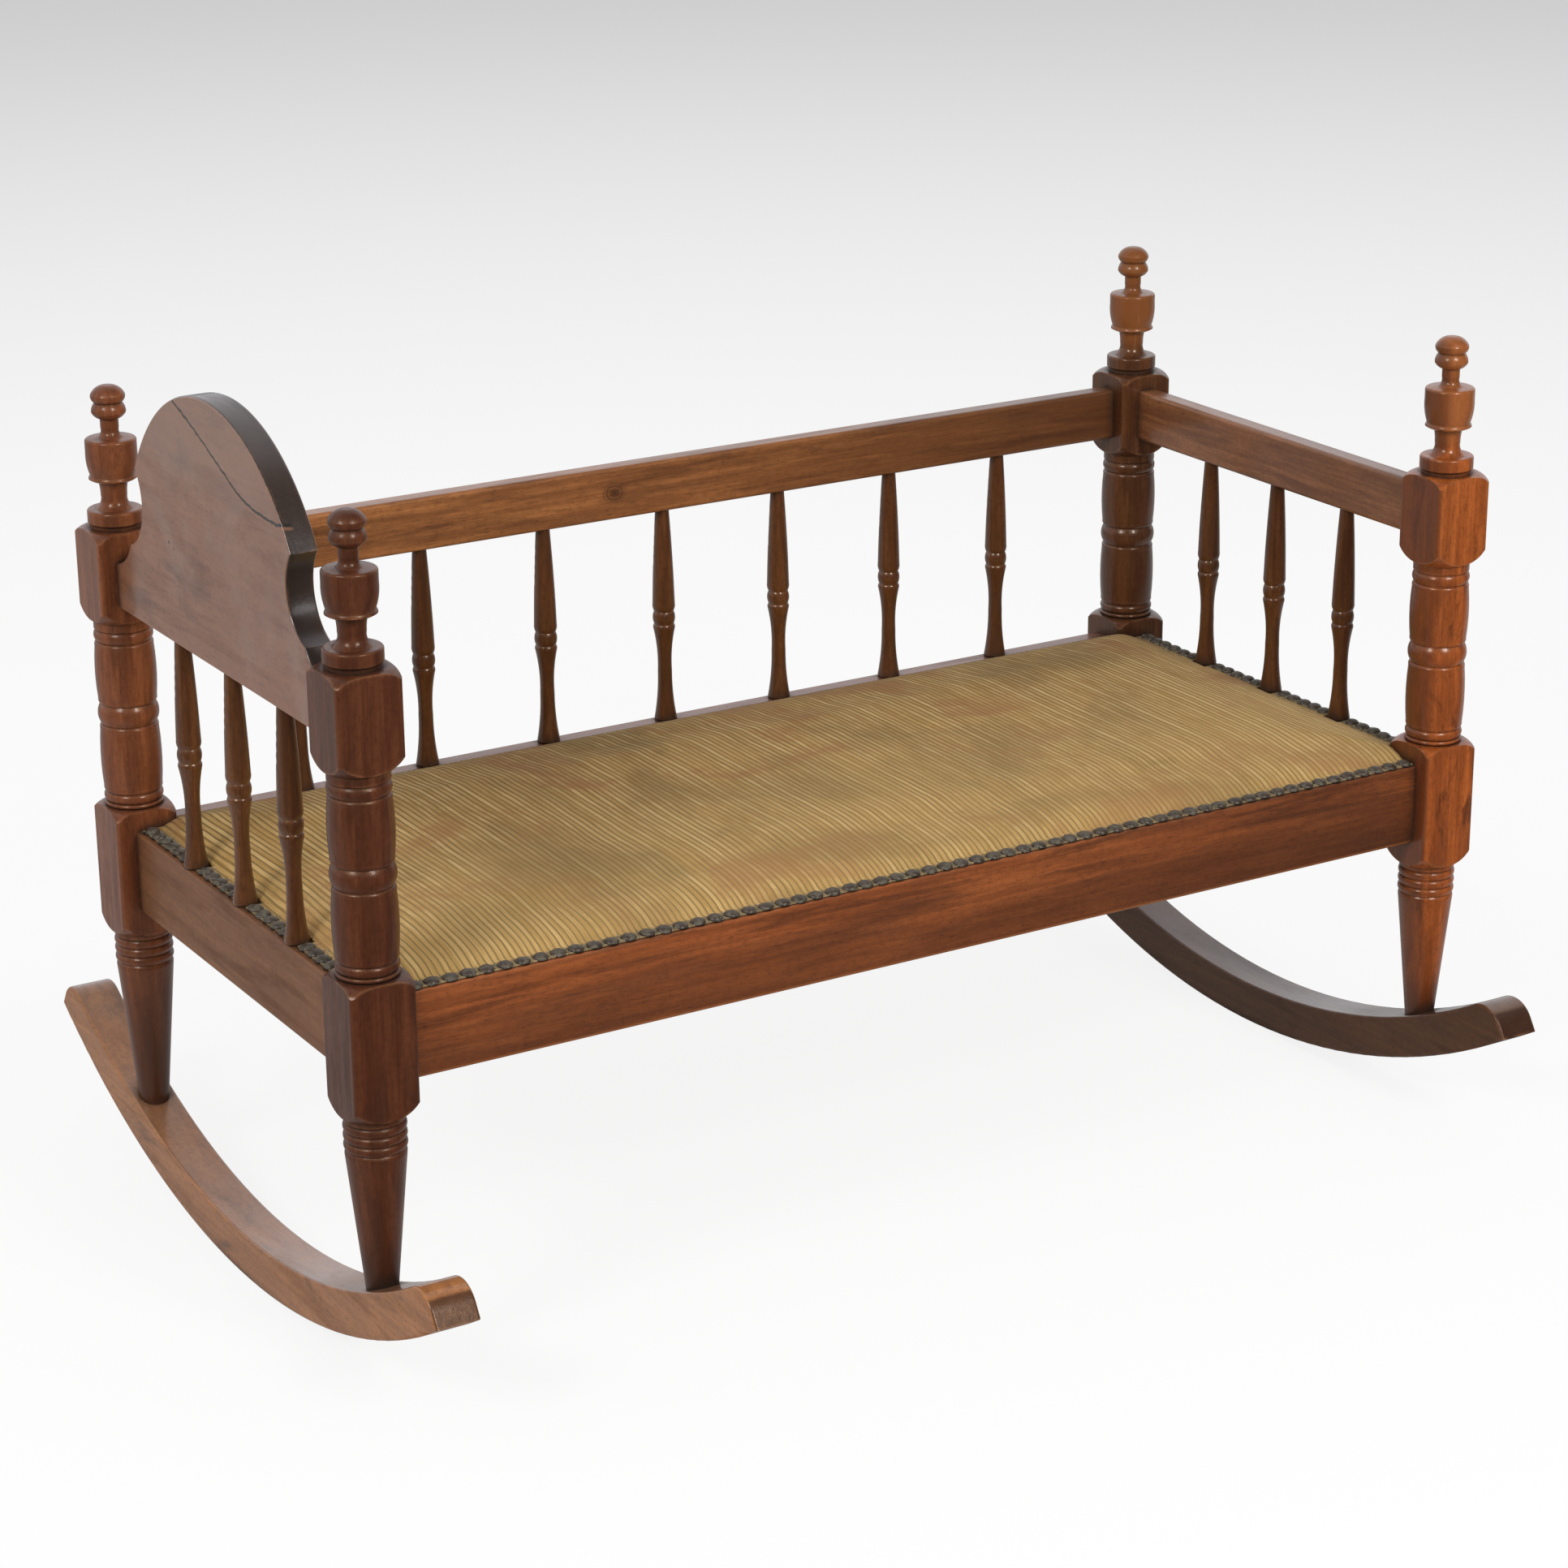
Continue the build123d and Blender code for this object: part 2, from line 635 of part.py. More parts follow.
for number, x in enumerate(board_xs):
    with BuildPart() as board:
        with BuildSketch(Plane.XY.offset(board_bottom)):
            with Locations((x, frame_shift_y)):
                Rectangle(board_width, 2 * board_half_length)
            with GridLocations(post_spacing_x, post_spacing_y, 2, 2):
                with Locations((0, frame_shift_y)):
                    Rectangle(post_size + 2 * cleat_end_gap, post_size + 2 * cleat_end_gap,
                              mode=Mode.SUBTRACT)
        extrude(amount=board_thickness)
        drill(board_nail_points(x), seat_height, board_thickness, board_nail_shank_radius + nail_hole_gap)
        drill(board_nail_points(x), seat_height, board_nail_head_height + nail_hole_gap,
              board_nail_head_radius + nail_hole_gap)
        drill(tack_points(x), seat_height, board_thickness, tack_shank_radius + nail_hole_gap)
    board.part.label = f"seat_board_{number + 1}"
    export_step(board.part, f"parts/seat_board_{number + 1}.step")


# Nails, screws and tacks, each kind made once and repeated
with BuildPart() as board_nail:
    Cylinder(board_nail_shank_radius, board_nail_length, align=(Align.CENTER, Align.CENTER, Align.MAX))
    Cylinder(board_nail_head_radius, board_nail_head_height, align=(Align.CENTER, Align.CENTER, Align.MAX))

with BuildPart() as tack:
    with Locations((0, 0, tack_head_height)):
        Cylinder(tack_head_radius, tack_head_height, align=(Align.CENTER, Align.CENTER, Align.MAX))
    Cylinder(tack_shank_radius, tack_length, align=(Align.CENTER, Align.CENTER, Align.MAX))

with BuildPart() as cleat_screw:
    with BuildSketch(Plane.XZ):
        with BuildLine():
            Polyline((0, 0), (cleat_screw_head_radius, 0),
                     (cleat_screw_radius, cleat_screw_radius - cleat_screw_head_radius),
                     (cleat_screw_radius, cleat_screw_radius * 2 - cleat_screw_length),
                     (0, -cleat_screw_length), close=True)
        make_face()
    revolve(axis=Axis.Z)

dome_radius = (nail_head_radius ** 2 + nail_head_height ** 2) / (2 * nail_head_height)
dome_half_angle = asin(nail_head_radius / dome_radius) / 2
dome_middle = (dome_radius * sin(dome_half_angle),
               nail_head_height - dome_radius + dome_radius * cos(dome_half_angle))
with BuildPart() as dome_nail:
    with BuildSketch(Plane.XZ):
        with BuildLine():
            Polyline((0, nail_head_height), (0, -nail_length), (nail_shank_radius, 2 - nail_length),
                     (nail_shank_radius, 0), (nail_head_radius, 0))
            ThreePointArc((nail_head_radius, 0), dome_middle, (0, nail_head_height))
        make_face()
    revolve(axis=Axis.Z)

fastener_groups = (
    ("board_nails", board_nail.part, [(x, y, seat_height) for x, y in all_board_nails]),
    ("back_tacks", tack.part, [(x, y, seat_height + cover_thickness) for x, y in all_tacks]),
    ("dome_nails_front", dome_nail.part, [(x, y, seat_height + cover_thickness) for x, y in front_nail_points]),
    ("dome_nails_head", dome_nail.part, [(x, y, seat_height + cover_thickness) for x, y in head_nail_points]),
    ("dome_nails_foot", dome_nail.part, [(x, y, seat_height + cover_thickness) for x, y in foot_nail_points]),
)
for name, fastener, points in fastener_groups:
    with BuildPart() as group:
        with Locations(*points):
            add(fastener)
    group.part.label = name
    export_step(group.part, f"parts/{name}.step")

with BuildPart() as screw_group:
    for screw_plane in screw_planes(front_y, -1) + screw_planes(back_y, 1):
        with Locations(screw_plane.location):
            add(cleat_screw.part)
screw_group.part.label = "cleat_screws"
export_step(screw_group.part, "parts/cleat_screws.step")


# Seat cover and the wadding under it: a low crown with a flat margin nailed to the rails
crown_half_x = post_x - crown_end_inset
crown_front = front_y - rail_half + crown_front_inset
crown_back = back_y - rail_half + cover_back_lap - cover_hem_width
crown_middle_y = (crown_front + crown_back) / 2
crown_length = 2 * crown_half_x
crown_depth = crown_back - crown_front
crown_steps = ((0.0, 0.0), (0.28, 0.045), (0.5, 0.11), (0.68, 0.22), (0.83, 0.4), (0.94, 0.66), (1.0, 1.0))


def crown(lift, inset):
    """A low rounded crown, drawn in by inset and lifted or lowered by lift at its top."""
    with BuildPart() as body:
        for rise, drawn_in in crown_steps:
            shrink = 2 * (inset + drawn_in * crown_flat_inset)
            level = seat_height + rise * (crown_height + lift)
            with BuildSketch(Plane.XY.offset(level)):
                with Locations((0, crown_middle_y)):
                    RectangleRounded(crown_length - shrink, crown_depth - shrink,
                                     crown_corner_radius * (1 - 0.35 * drawn_in) - inset)
        loft(ruled=True)
    return body.part


outer_crown = crown(0, 0)
inner_crown = crown(-cover_thickness, cover_thickness)
wadding_inset = cover_thickness + soft_clearance
cover_end_x = post_x + rail_half - cover_end_bare_strip
cover_front = front_y - rail_half + cover_front_bare_strip
cover_back = back_y - rail_half + cover_back_lap
with BuildPart() as seat_cover:
    with BuildSketch(Plane.XY.offset(seat_height)):
        with Locations((0, (cover_front + cover_back) / 2)):
            Rectangle(2 * cover_end_x, cover_back - cover_front)
    extrude(amount=cover_thickness)
    with BuildSketch(Plane.XY.offset(seat_height)):
        with Locations((0, cover_back - cover_hem_width / 2)):
            Rectangle(crown_length - 2 * crown_corner_radius, cover_hem_width)
    extrude(amount=2 * cover_thickness + tack_head_height)
    add(outer_crown)
    add(inner_crown, mode=Mode.SUBTRACT)
    with BuildSketch(Plane.XY.offset(seat_height)):
        with Locations((0, frame_shift_y)):
            with GridLocations(post_spacing_x, post_spacing_y, 2, 2):
                Rectangle(post_size + 2 * cover_notch_gap, post_size + 2 * cover_notch_gap)
        for side in (-1, 1):
            with Locations(*[(side * (post_x + spindle_base_radius), y) for y in end_spindle_ys]):
                Rectangle(2 * spindle_base_radius, 2 * (spindle_base_radius + cover_notch_gap))
            with Locations(*[(side * post_x, y) for y in end_spindle_ys]):
                Circle(spindle_base_radius + cover_notch_gap)
    extrude(amount=crown_height, mode=Mode.SUBTRACT)
    drill(front_nail_points + head_nail_points + foot_nail_points, seat_height, -cover_thickness,
          nail_shank_radius + nail_hole_gap)
    drill(all_tacks, seat_height, -cover_thickness, tack_shank_radius + nail_hole_gap)
    drill(all_tacks, seat_height + cover_thickness, -tack_head_height - nail_hole_gap,
          tack_head_radius + tack_pocket_gap)
seat_cover.part.label = "seat_cover"
export_step(seat_cover.part, "parts/seat_cover.step")

with BuildPart() as seat_wadding:
    add(crown(-wadding_inset, wadding_inset))
seat_wadding.part.label = "seat_wadding"
export_step(seat_wadding.part, "parts/seat_wadding.step")
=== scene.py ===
"""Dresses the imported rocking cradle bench: old varnish, a padded ribbed seat, domed nails and a studio.

Metres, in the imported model's own frame: +X is the foot end, -Y the open front, +Z up.
"""
import bpy
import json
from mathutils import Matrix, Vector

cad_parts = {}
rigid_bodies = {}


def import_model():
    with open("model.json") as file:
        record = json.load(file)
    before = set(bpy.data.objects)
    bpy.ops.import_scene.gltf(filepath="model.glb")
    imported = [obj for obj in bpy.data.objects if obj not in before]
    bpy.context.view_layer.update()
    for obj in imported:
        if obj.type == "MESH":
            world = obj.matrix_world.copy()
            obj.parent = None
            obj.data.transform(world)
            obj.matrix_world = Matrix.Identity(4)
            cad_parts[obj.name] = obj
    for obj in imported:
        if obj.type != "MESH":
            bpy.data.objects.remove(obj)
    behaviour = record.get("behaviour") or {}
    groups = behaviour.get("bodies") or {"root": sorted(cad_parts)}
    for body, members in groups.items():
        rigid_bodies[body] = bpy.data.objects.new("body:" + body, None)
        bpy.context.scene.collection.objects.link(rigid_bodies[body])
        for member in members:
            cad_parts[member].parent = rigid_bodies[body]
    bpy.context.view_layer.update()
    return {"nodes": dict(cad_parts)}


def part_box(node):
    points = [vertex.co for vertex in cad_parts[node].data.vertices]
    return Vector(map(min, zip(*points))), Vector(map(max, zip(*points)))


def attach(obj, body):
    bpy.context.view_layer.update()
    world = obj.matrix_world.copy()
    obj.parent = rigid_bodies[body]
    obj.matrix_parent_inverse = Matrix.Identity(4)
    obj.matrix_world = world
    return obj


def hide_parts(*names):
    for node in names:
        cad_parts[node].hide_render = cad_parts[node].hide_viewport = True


for leftover in list(bpy.data.objects):
    bpy.data.objects.remove(leftover)
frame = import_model()

import json
import random
from math import cos, exp, hypot, pi, radians, sin

import bmesh
from bpy.props import FloatProperty, FloatVectorProperty, IntProperty, PointerProperty
from bpy.types import NodeSocket, Operator, Panel, PropertyGroup
from mathutils import Matrix, Vector, noise

bl_info = {
    "name": "Rocking cradle bench",
    "version": (1, 0, 0),
    "blender": (4, 5, 0),
    "location": "View3D > Sidebar > Cradle",
    "description": "Finishes, padded seat, nails and studio for a rocking cradle bench",
    "category": "Object",
}

POSTS = ("post_head_front", "post_head_back", "post_foot_front", "post_foot_back")
BACK_SPINDLES = tuple(f"spindle_back_{i}" for i in range(1, 8))
END_SPINDLES = tuple(f"spindle_{end}_{i}" for end in ("head", "foot") for i in range(1, 4))
HIDDEN_WOOD = ("cleat_front", "cleat_back") + tuple(f"seat_board_{i}" for i in range(1, 7))
STEEL_NODES = ("back_tacks", "board_nails", "cleat_screws")
NAIL_ROWS = ("dome_nails_front", "dome_nails_head", "dome_nails_foot")
NOTCH_GAP = 0.0005          # between the fabric and a post or spindle
BACK_HEM = 0.004            # from the cover's back edge to the raised part


def colour(name, description, value):
    """A colour that the user can change."""
    return FloatVectorProperty(name=name, description=description, default=value, size=3,
                               subtype="COLOR", min=0, max=1)


def length(name, description, value):
    """A length that the user can change."""
    return FloatProperty(name=name, description=description, default=value, unit="LENGTH", precision=4)


def angle(name, description, degrees):
    """An angle that the user can change, given in degrees."""
    return FloatProperty(name=name, description=description, default=radians(degrees), unit="ROTATION")


class CradleFinish(PropertyGroup):
    """Colours of the old finish, written as linear values."""
    head_front_post: colour("Head front post", "Dark brown post", (0.072, 0.021, 0.009))
    head_back_post: colour("Head back post", "Mid brown post", (0.156, 0.047, 0.018))
    foot_front_post: colour("Foot front post", "Orange brown post", (0.262, 0.064, 0.013))
    foot_back_post: colour("Foot back post", "Dark brown post", (0.074, 0.026, 0.010))
    front_rail: colour("Front rail", "Reddish brown rail", (0.210, 0.056, 0.015))
    back_rail: colour("Back rail", "Brown rail behind the seat", (0.140, 0.050, 0.028))
    head_rail: colour("Head rail", "Worn brown rail", (0.145, 0.056, 0.021))
    foot_rail: colour("Foot rail", "Brown rail", (0.100, 0.040, 0.020))
    back_top_rail: colour("Back top rail", "Tan rail over the spindles", (0.255, 0.096, 0.031))
    foot_top_rail: colour("Foot top rail", "Brown rail over the spindles", (0.185, 0.072, 0.030))
    headboard: colour("Headboard", "Brown board", (0.180, 0.068, 0.032))
    spindles: colour("Spindles", "Dark warm brown", (0.082, 0.028, 0.009))
    head_rocker: colour("Head rocker", "Tan brown rocker", (0.270, 0.105, 0.034))
    foot_rocker: colour("Foot rocker", "Dark brown rocker", (0.066, 0.025, 0.009))
    umber: colour("Umber", "Dark stain in the varnish", (0.030, 0.011, 0.007))
    amber: colour("Amber", "Orange where the varnish is thin", (0.330, 0.105, 0.026))
    # Also painted as a highlight on the lower lip of the headboard's split.
    worn_and_highlight: colour("Worn edge and highlight", "Wood that shows at worn corners", (0.260, 0.115, 0.050))
    # Also the colour of painted shade in grooves, joints and round the nails' rims.
    grime_and_shade: colour("Grime and shade", "Wax and dirt in grooves and joints", (0.013, 0.009, 0.007))
    # Also painted as sheen on the rockers' tops and in the headboard's bloom.
    dust_and_sheen: colour("Dust and sheen", "Dull film", (0.240, 0.165, 0.130))
    pine: colour("Pine", "Bare wood under the seat", (0.400, 0.250, 0.120))
    nail: colour("Nail", "Dark dull enamel of the domed nails", (0.048, 0.034, 0.024))
    patina: colour("Patina", "Grey-brown bloom on the nails", (0.118, 0.100, 0.070))
    straw: colour("Straw", "Light yarn of the seat fabric", (0.560, 0.378, 0.156))
    ochre: colour("Ochre", "Main yarn of the seat fabric", (0.335, 0.185, 0.045))
    olive: colour("Olive", "Dark yarn of the seat fabric", (0.115, 0.068, 0.017))
    stain: colour("Stain", "Reddish stain on the seat", (0.250, 0.100, 0.034))
    fray: colour("Fray", "Pale loose threads at the nails", (0.360, 0.345, 0.235))


class CradleSeat(PropertyGroup):
    """Sizes of the padded seat, its nails and its frayed edge."""
    grid: length("Grid", "Spacing of the pad's vertices in the simulation", 0.0104)
    cloth: length("Fabric", "Thickness of the fabric at its nailed margin", 0.0012)
    crown: length("Crown", "Height of the pad over the boards", 0.0130)
    shoulder: length("Shoulder", "How quickly the pad rises from its edge", 0.021)
    corner: length("Corner", "Corner radius of the raised part", 0.022)
    end_inset: length("End inset", "From the end posts' centres to the raised part", 0.008)
    front_inset: length("Front inset", "From the front rail's face to the raised part", 0.012)
    swell: length("Swell", "Most that the pad may swell in the simulation", 0.003)
    pressure: FloatProperty(name="Pressure", description="Pressure inside the pad", default=3.0)
    frames: IntProperty(name="Frames", description="Frames of the simulation", default=16)
    cuts: IntProperty(name="Cuts", description="Cuts of each face after the simulation", default=3)
    pucker: length("Pucker", "Depth of the pull at each nail", 0.0012)
    rib: length("Rib", "Spacing of the fabric's ribs", 0.0046)
    nail_radius: length("Nail radius", "Radius of a nail's dome", 0.0055)
    nail_height: length("Nail height", "Height of a nail's dome", 0.0030)
    nail_tilt: angle("Nail tilt", "Most that a nail leans", 7)
    threads: IntProperty(name="Threads", description="Loose threads round each nail", default=18)


class CradleStage(PropertyGroup):
    """Camera and lights."""
    lens: FloatProperty(name="Lens", description="Focal length", default=88.57, unit="CAMERA")
    place: FloatVectorProperty(name="Place", description="Where the camera stands", size=3,
                               default=(-1.3748, -2.2832, 1.2045), subtype="TRANSLATION")
    yaw: angle("Yaw", "Camera's turn to the right, from facing the bench's back", 30.991)
    pitch: angle("Pitch", "Camera's tilt downwards", 19.222)
    roll: angle("Roll", "Camera's turn about its own view", -0.484)
    key: FloatProperty(name="Key", description="Power of the right light, in watts", default=62.0)
    fill: FloatProperty(name="Fill", description="Power of the left light, in watts", default=46.0)
    light_size: length("Light size", "Side of each square light", 0.9)
    light_near: length("Light distance", "From the bench towards the camera", 2.4)
    light_aside: length("Light spread", "From the middle of the view to either side", 1.7)
    light_up: length("Light height", "Over the point that the lights face", 2.0)
    sky: FloatProperty(name="Sky", description="Strength of the even light from all round", default=0.62)


class Tree:
    """Adds nodes to a node tree and joins them up."""

    def __init__(self, tree):
        self.tree = tree
        self.count = 0

    def add(self, kind, inputs=None, **settings):
        """One node, with its inputs linked or set."""
        node = self.tree.nodes.new(kind)
        node.location = (200 * (self.count % 12), -260 * (self.count // 12))
        self.count += 1
        for name, value in settings.items():
            setattr(node, name, value)
        for key, value in (inputs or {}).items():
            self.feed(node.inputs[key], value)
        return node

    def feed(self, socket, value):
        """Links or sets one input."""
        if isinstance(value, NodeSocket):
            self.tree.links.new(value, socket)
        elif socket.type == "RGBA" and len(value) == 3:
            socket.default_value = (*value, 1)
        else:
            socket.default_value = value

    def math(self, operation, first, second=0.0, clamp=False):
        """A Math node's result."""
        node = self.add("ShaderNodeMath", {0: first, 1: second}, operation=operation, use_clamp=clamp)
        return node.outputs[0]

    def times(self, first, second):
        """The product of two values."""
        return self.math("MULTIPLY", first, second)

    def plus(self, first, second, clamp=False):
        """The sum of two values."""
        return self.math("ADD", first, second, clamp)

    def minus(self, first, second):
        """The first value less the second."""
        return self.math("SUBTRACT", first, second)

    def vector(self, operation, first, second=(0, 0, 0)):
        """A Vector Math node's vector."""
        node = self.add("ShaderNodeVectorMath", {0: first, 1: second}, operation=operation)
        return node.outputs[0]

    def scaled(self, vector, scale):
        """A vector stretched along its own axes."""
        return self.vector("MULTIPLY", vector, scale)

    def noise(self, vector, scale, detail=4.0, roughness=0.5, distortion=0.0):
        """Smooth noise from 0 to 1."""
        node = self.add("ShaderNodeTexNoise", {"Vector": vector, "Scale": scale, "Detail": detail,
                                               "Roughness": roughness, "Distortion": distortion})
        return node.outputs[0]

    def span(self, value, low, high, start=0.0, end=1.0):
        """A value carried smoothly from one range to another."""
        node = self.add("ShaderNodeMapRange", {0: value, 1: low, 2: high, 3: start, 4: end},
                        interpolation_type="SMOOTHSTEP")
        return node.outputs[0]

    def mix(self, factor, first, second):
        """Two colours mixed."""
        node = self.add("ShaderNodeMix", {0: factor, 6: first, 7: second}, data_type="RGBA")
        return node.outputs[2]

    def over(self, base, top, mask, share):
        """A colour laid over a base colour where the mask is, by a share."""
        return self.mix(self.times(mask, share), base, top)

    def split(self, vector):
        """A vector's three parts."""
        return self.add("ShaderNodeSeparateXYZ", {0: vector}).outputs

    def joined(self, x, y, z):
        """A vector from three parts."""
        return self.add("ShaderNodeCombineXYZ", {0: x, 1: y, 2: z}).outputs[0]

    def length(self, x, y):
        """The length of a flat vector from its two parts."""
        node = self.add("ShaderNodeVectorMath", {0: self.joined(x, y, 0.0)}, operation="LENGTH")
        return node.outputs["Value"]

    def place(self):
        """Object coordinates."""
        return self.add("ShaderNodeTexCoord").outputs["Object"]

    def group(self, tree, inputs):
        """A node group's outputs."""
        return self.add("ShaderNodeGroup", inputs, node_tree=tree).outputs


def new_group(name, inputs, outputs):
    """An empty shader node group with float, vector or colour sockets."""
    tree = bpy.data.node_groups.new(name, "ShaderNodeTree")
    for label, kind, value in inputs:
        socket = tree.interface.new_socket(label, in_out="INPUT", socket_type=kind)
        if value is not None:
            socket.default_value = value
    for label, kind in outputs:
        tree.interface.new_socket(label, in_out="OUTPUT", socket_type=kind)
    nodes = Tree(tree)
    source = nodes.add("NodeGroupInput").outputs
    sink = nodes.add("NodeGroupOutput").inputs
    return tree, nodes, source, sink


FLOAT = "NodeSocketFloat"
VECTOR = "NodeSocketVector"


def grain_group():
    """Growth rings, bands, streaks and pores of wood whose grain runs along the vector's Z."""
    name = "Wood grain"
    if name in bpy.data.node_groups:
        return bpy.data.node_groups[name]
    tree, n, source, sink = new_group(
        name, [("Vector", VECTOR, None), ("Ring Pitch", FLOAT, 0.006), ("Waviness", FLOAT, 0.010)],
        [("Rings", FLOAT), ("Bands", FLOAT), ("Streaks", FLOAT), ("Pores", FLOAT)])
    vector = source["Vector"]
    sway = n.noise(n.scaled(vector, (1.0, 1.0, 0.12)), 9.0, 2.0)
    across = n.split(vector)
    wavy = n.plus(n.length(across[0], across[1]), n.times(sway, source["Waviness"]))
    fraction = n.math("FRACT", n.math("DIVIDE", wavy, source["Ring Pitch"]))
    n.feed(sink["Rings"], n.math("POWER", fraction, 1.6))
    bands = n.noise(n.scaled(vector, (1.0, 1.0, 0.08)), 105.0, 4.0, 0.6, 0.3)
    n.feed(sink["Bands"], n.span(bands, 0.42, 0.62))
    streaks = n.noise(n.scaled(vector, (1.0, 1.0, 0.05)), 360.0, 5.0, 0.62)
    n.feed(sink["Streaks"], n.span(streaks, 0.36, 0.68))
    pores = n.noise(n.scaled(vector, (1.0, 1.0, 0.07)), 1500.0, 2.0, 0.5)
    n.feed(sink["Pores"], n.span(pores, 0.58, 0.74))
    return tree


def smudge_group():
    """Uneven patches of darker and lighter varnish, drawn out along the vector's Z."""
    name = "Varnish smudges"
    if name in bpy.data.node_groups:
        return bpy.data.node_groups[name]
    tree, n, source, sink = new_group(name, [("Vector", VECTOR, None), ("Scale", FLOAT, 1.0)],
                                      [("Broad", FLOAT), ("Patches", FLOAT), ("Specks", FLOAT)])
    vector = n.vector("SCALE", source["Vector"])
    n.feed(vector.node.inputs["Scale"], source["Scale"])
    broad = n.noise(n.scaled(vector, (1.0, 1.0, 0.35)), 13.0, 4.0, 0.6, 0.4)
    n.feed(sink["Broad"], n.span(broad, 0.40, 0.64))
    patches = n.noise(n.scaled(vector, (1.0, 1.0, 0.16)), 52.0, 6.0, 0.62, 0.5)
    n.feed(sink["Patches"], n.span(patches, 0.46, 0.66))
    specks = n.noise(n.scaled(vector, (1.0, 1.0, 0.4)), 420.0, 3.0, 0.6)
    n.feed(sink["Specks"], n.span(specks, 0.60, 0.72))
    return tree


def edge_group():
    """Worn convex edges, and grime with painted shade in grooves and joints, found by ambient occlusion.
    """
    name = "Edges and grooves"
    if name in bpy.data.node_groups:
        return bpy.data.node_groups[name]
    tree, n, source, sink = new_group(
        name, [("Vector", VECTOR, None), ("Edge Radius", FLOAT, 0.0035), ("Reach", FLOAT, 0.012)],
        [("Edge", FLOAT), ("Groove Dirt And Shade", FLOAT)])
    # Ambient occlusion finds the grooves and joints: the mask is painted shade, together with grime.
    hollow = n.add("ShaderNodeAmbientOcclusion", {"Distance": source["Reach"]}, samples=6).outputs["AO"]
    ragged = n.noise(source["Vector"], 95.0, 4.0, 0.6)
    groove_dirt_and_shade = n.span(hollow, 0.86, 0.38)
    n.feed(sink["Groove Dirt And Shade"], n.times(groove_dirt_and_shade, n.span(ragged, 0.2, 0.55, 0.55, 1.0)))
    rounded = n.add("ShaderNodeBevel", {"Radius": source["Edge Radius"]}, samples=4).outputs[0]
    normal = n.add("ShaderNodeNewGeometry").outputs["Normal"]
    agree = n.add("ShaderNodeVectorMath", {0: rounded, 1: normal}, operation="DOT_PRODUCT")
    edge = n.span(agree.outputs["Value"], 0.985, 0.86)
    convex = n.span(hollow, 0.70, 0.92)
    edge = n.times(edge, convex)
    n.feed(sink["Edge"], n.times(edge, n.span(ragged, 0.38, 0.62)))
    return tree


def new_material(name):
    """An empty material, its tree and its Principled shader."""
    material = bpy.data.materials.new(name)
    material.use_nodes = True
    material.node_tree.nodes.clear()
    nodes = Tree(material.node_tree)
    shader = nodes.add("ShaderNodeBsdfPrincipled")
    nodes.add("ShaderNodeOutputMaterial", {"Surface": shader.outputs[0]})
    return material, nodes, shader


def facing(n, axis, low, high):
    """How far a surface faces along one axis, from its normal: 0 below low and 1 above high."""
    normal = n.split(n.add("ShaderNodeNewGeometry").outputs["Normal"])
    return n.span(normal["XYZ".index(axis)], low, high)


def tones(body):
    """The dark, main and light colours of varnished wood whose average is body."""
    dark = tuple(part * share for part, share in zip(body, (0.46, 0.42, 0.46)))
    main = tuple(part * share for part, share in zip(body, (1.15, 1.12, 1.10)))
    light = tuple(part * share for part, share in zip(body, (1.80, 1.95, 1.90)))
    return dark, main, light


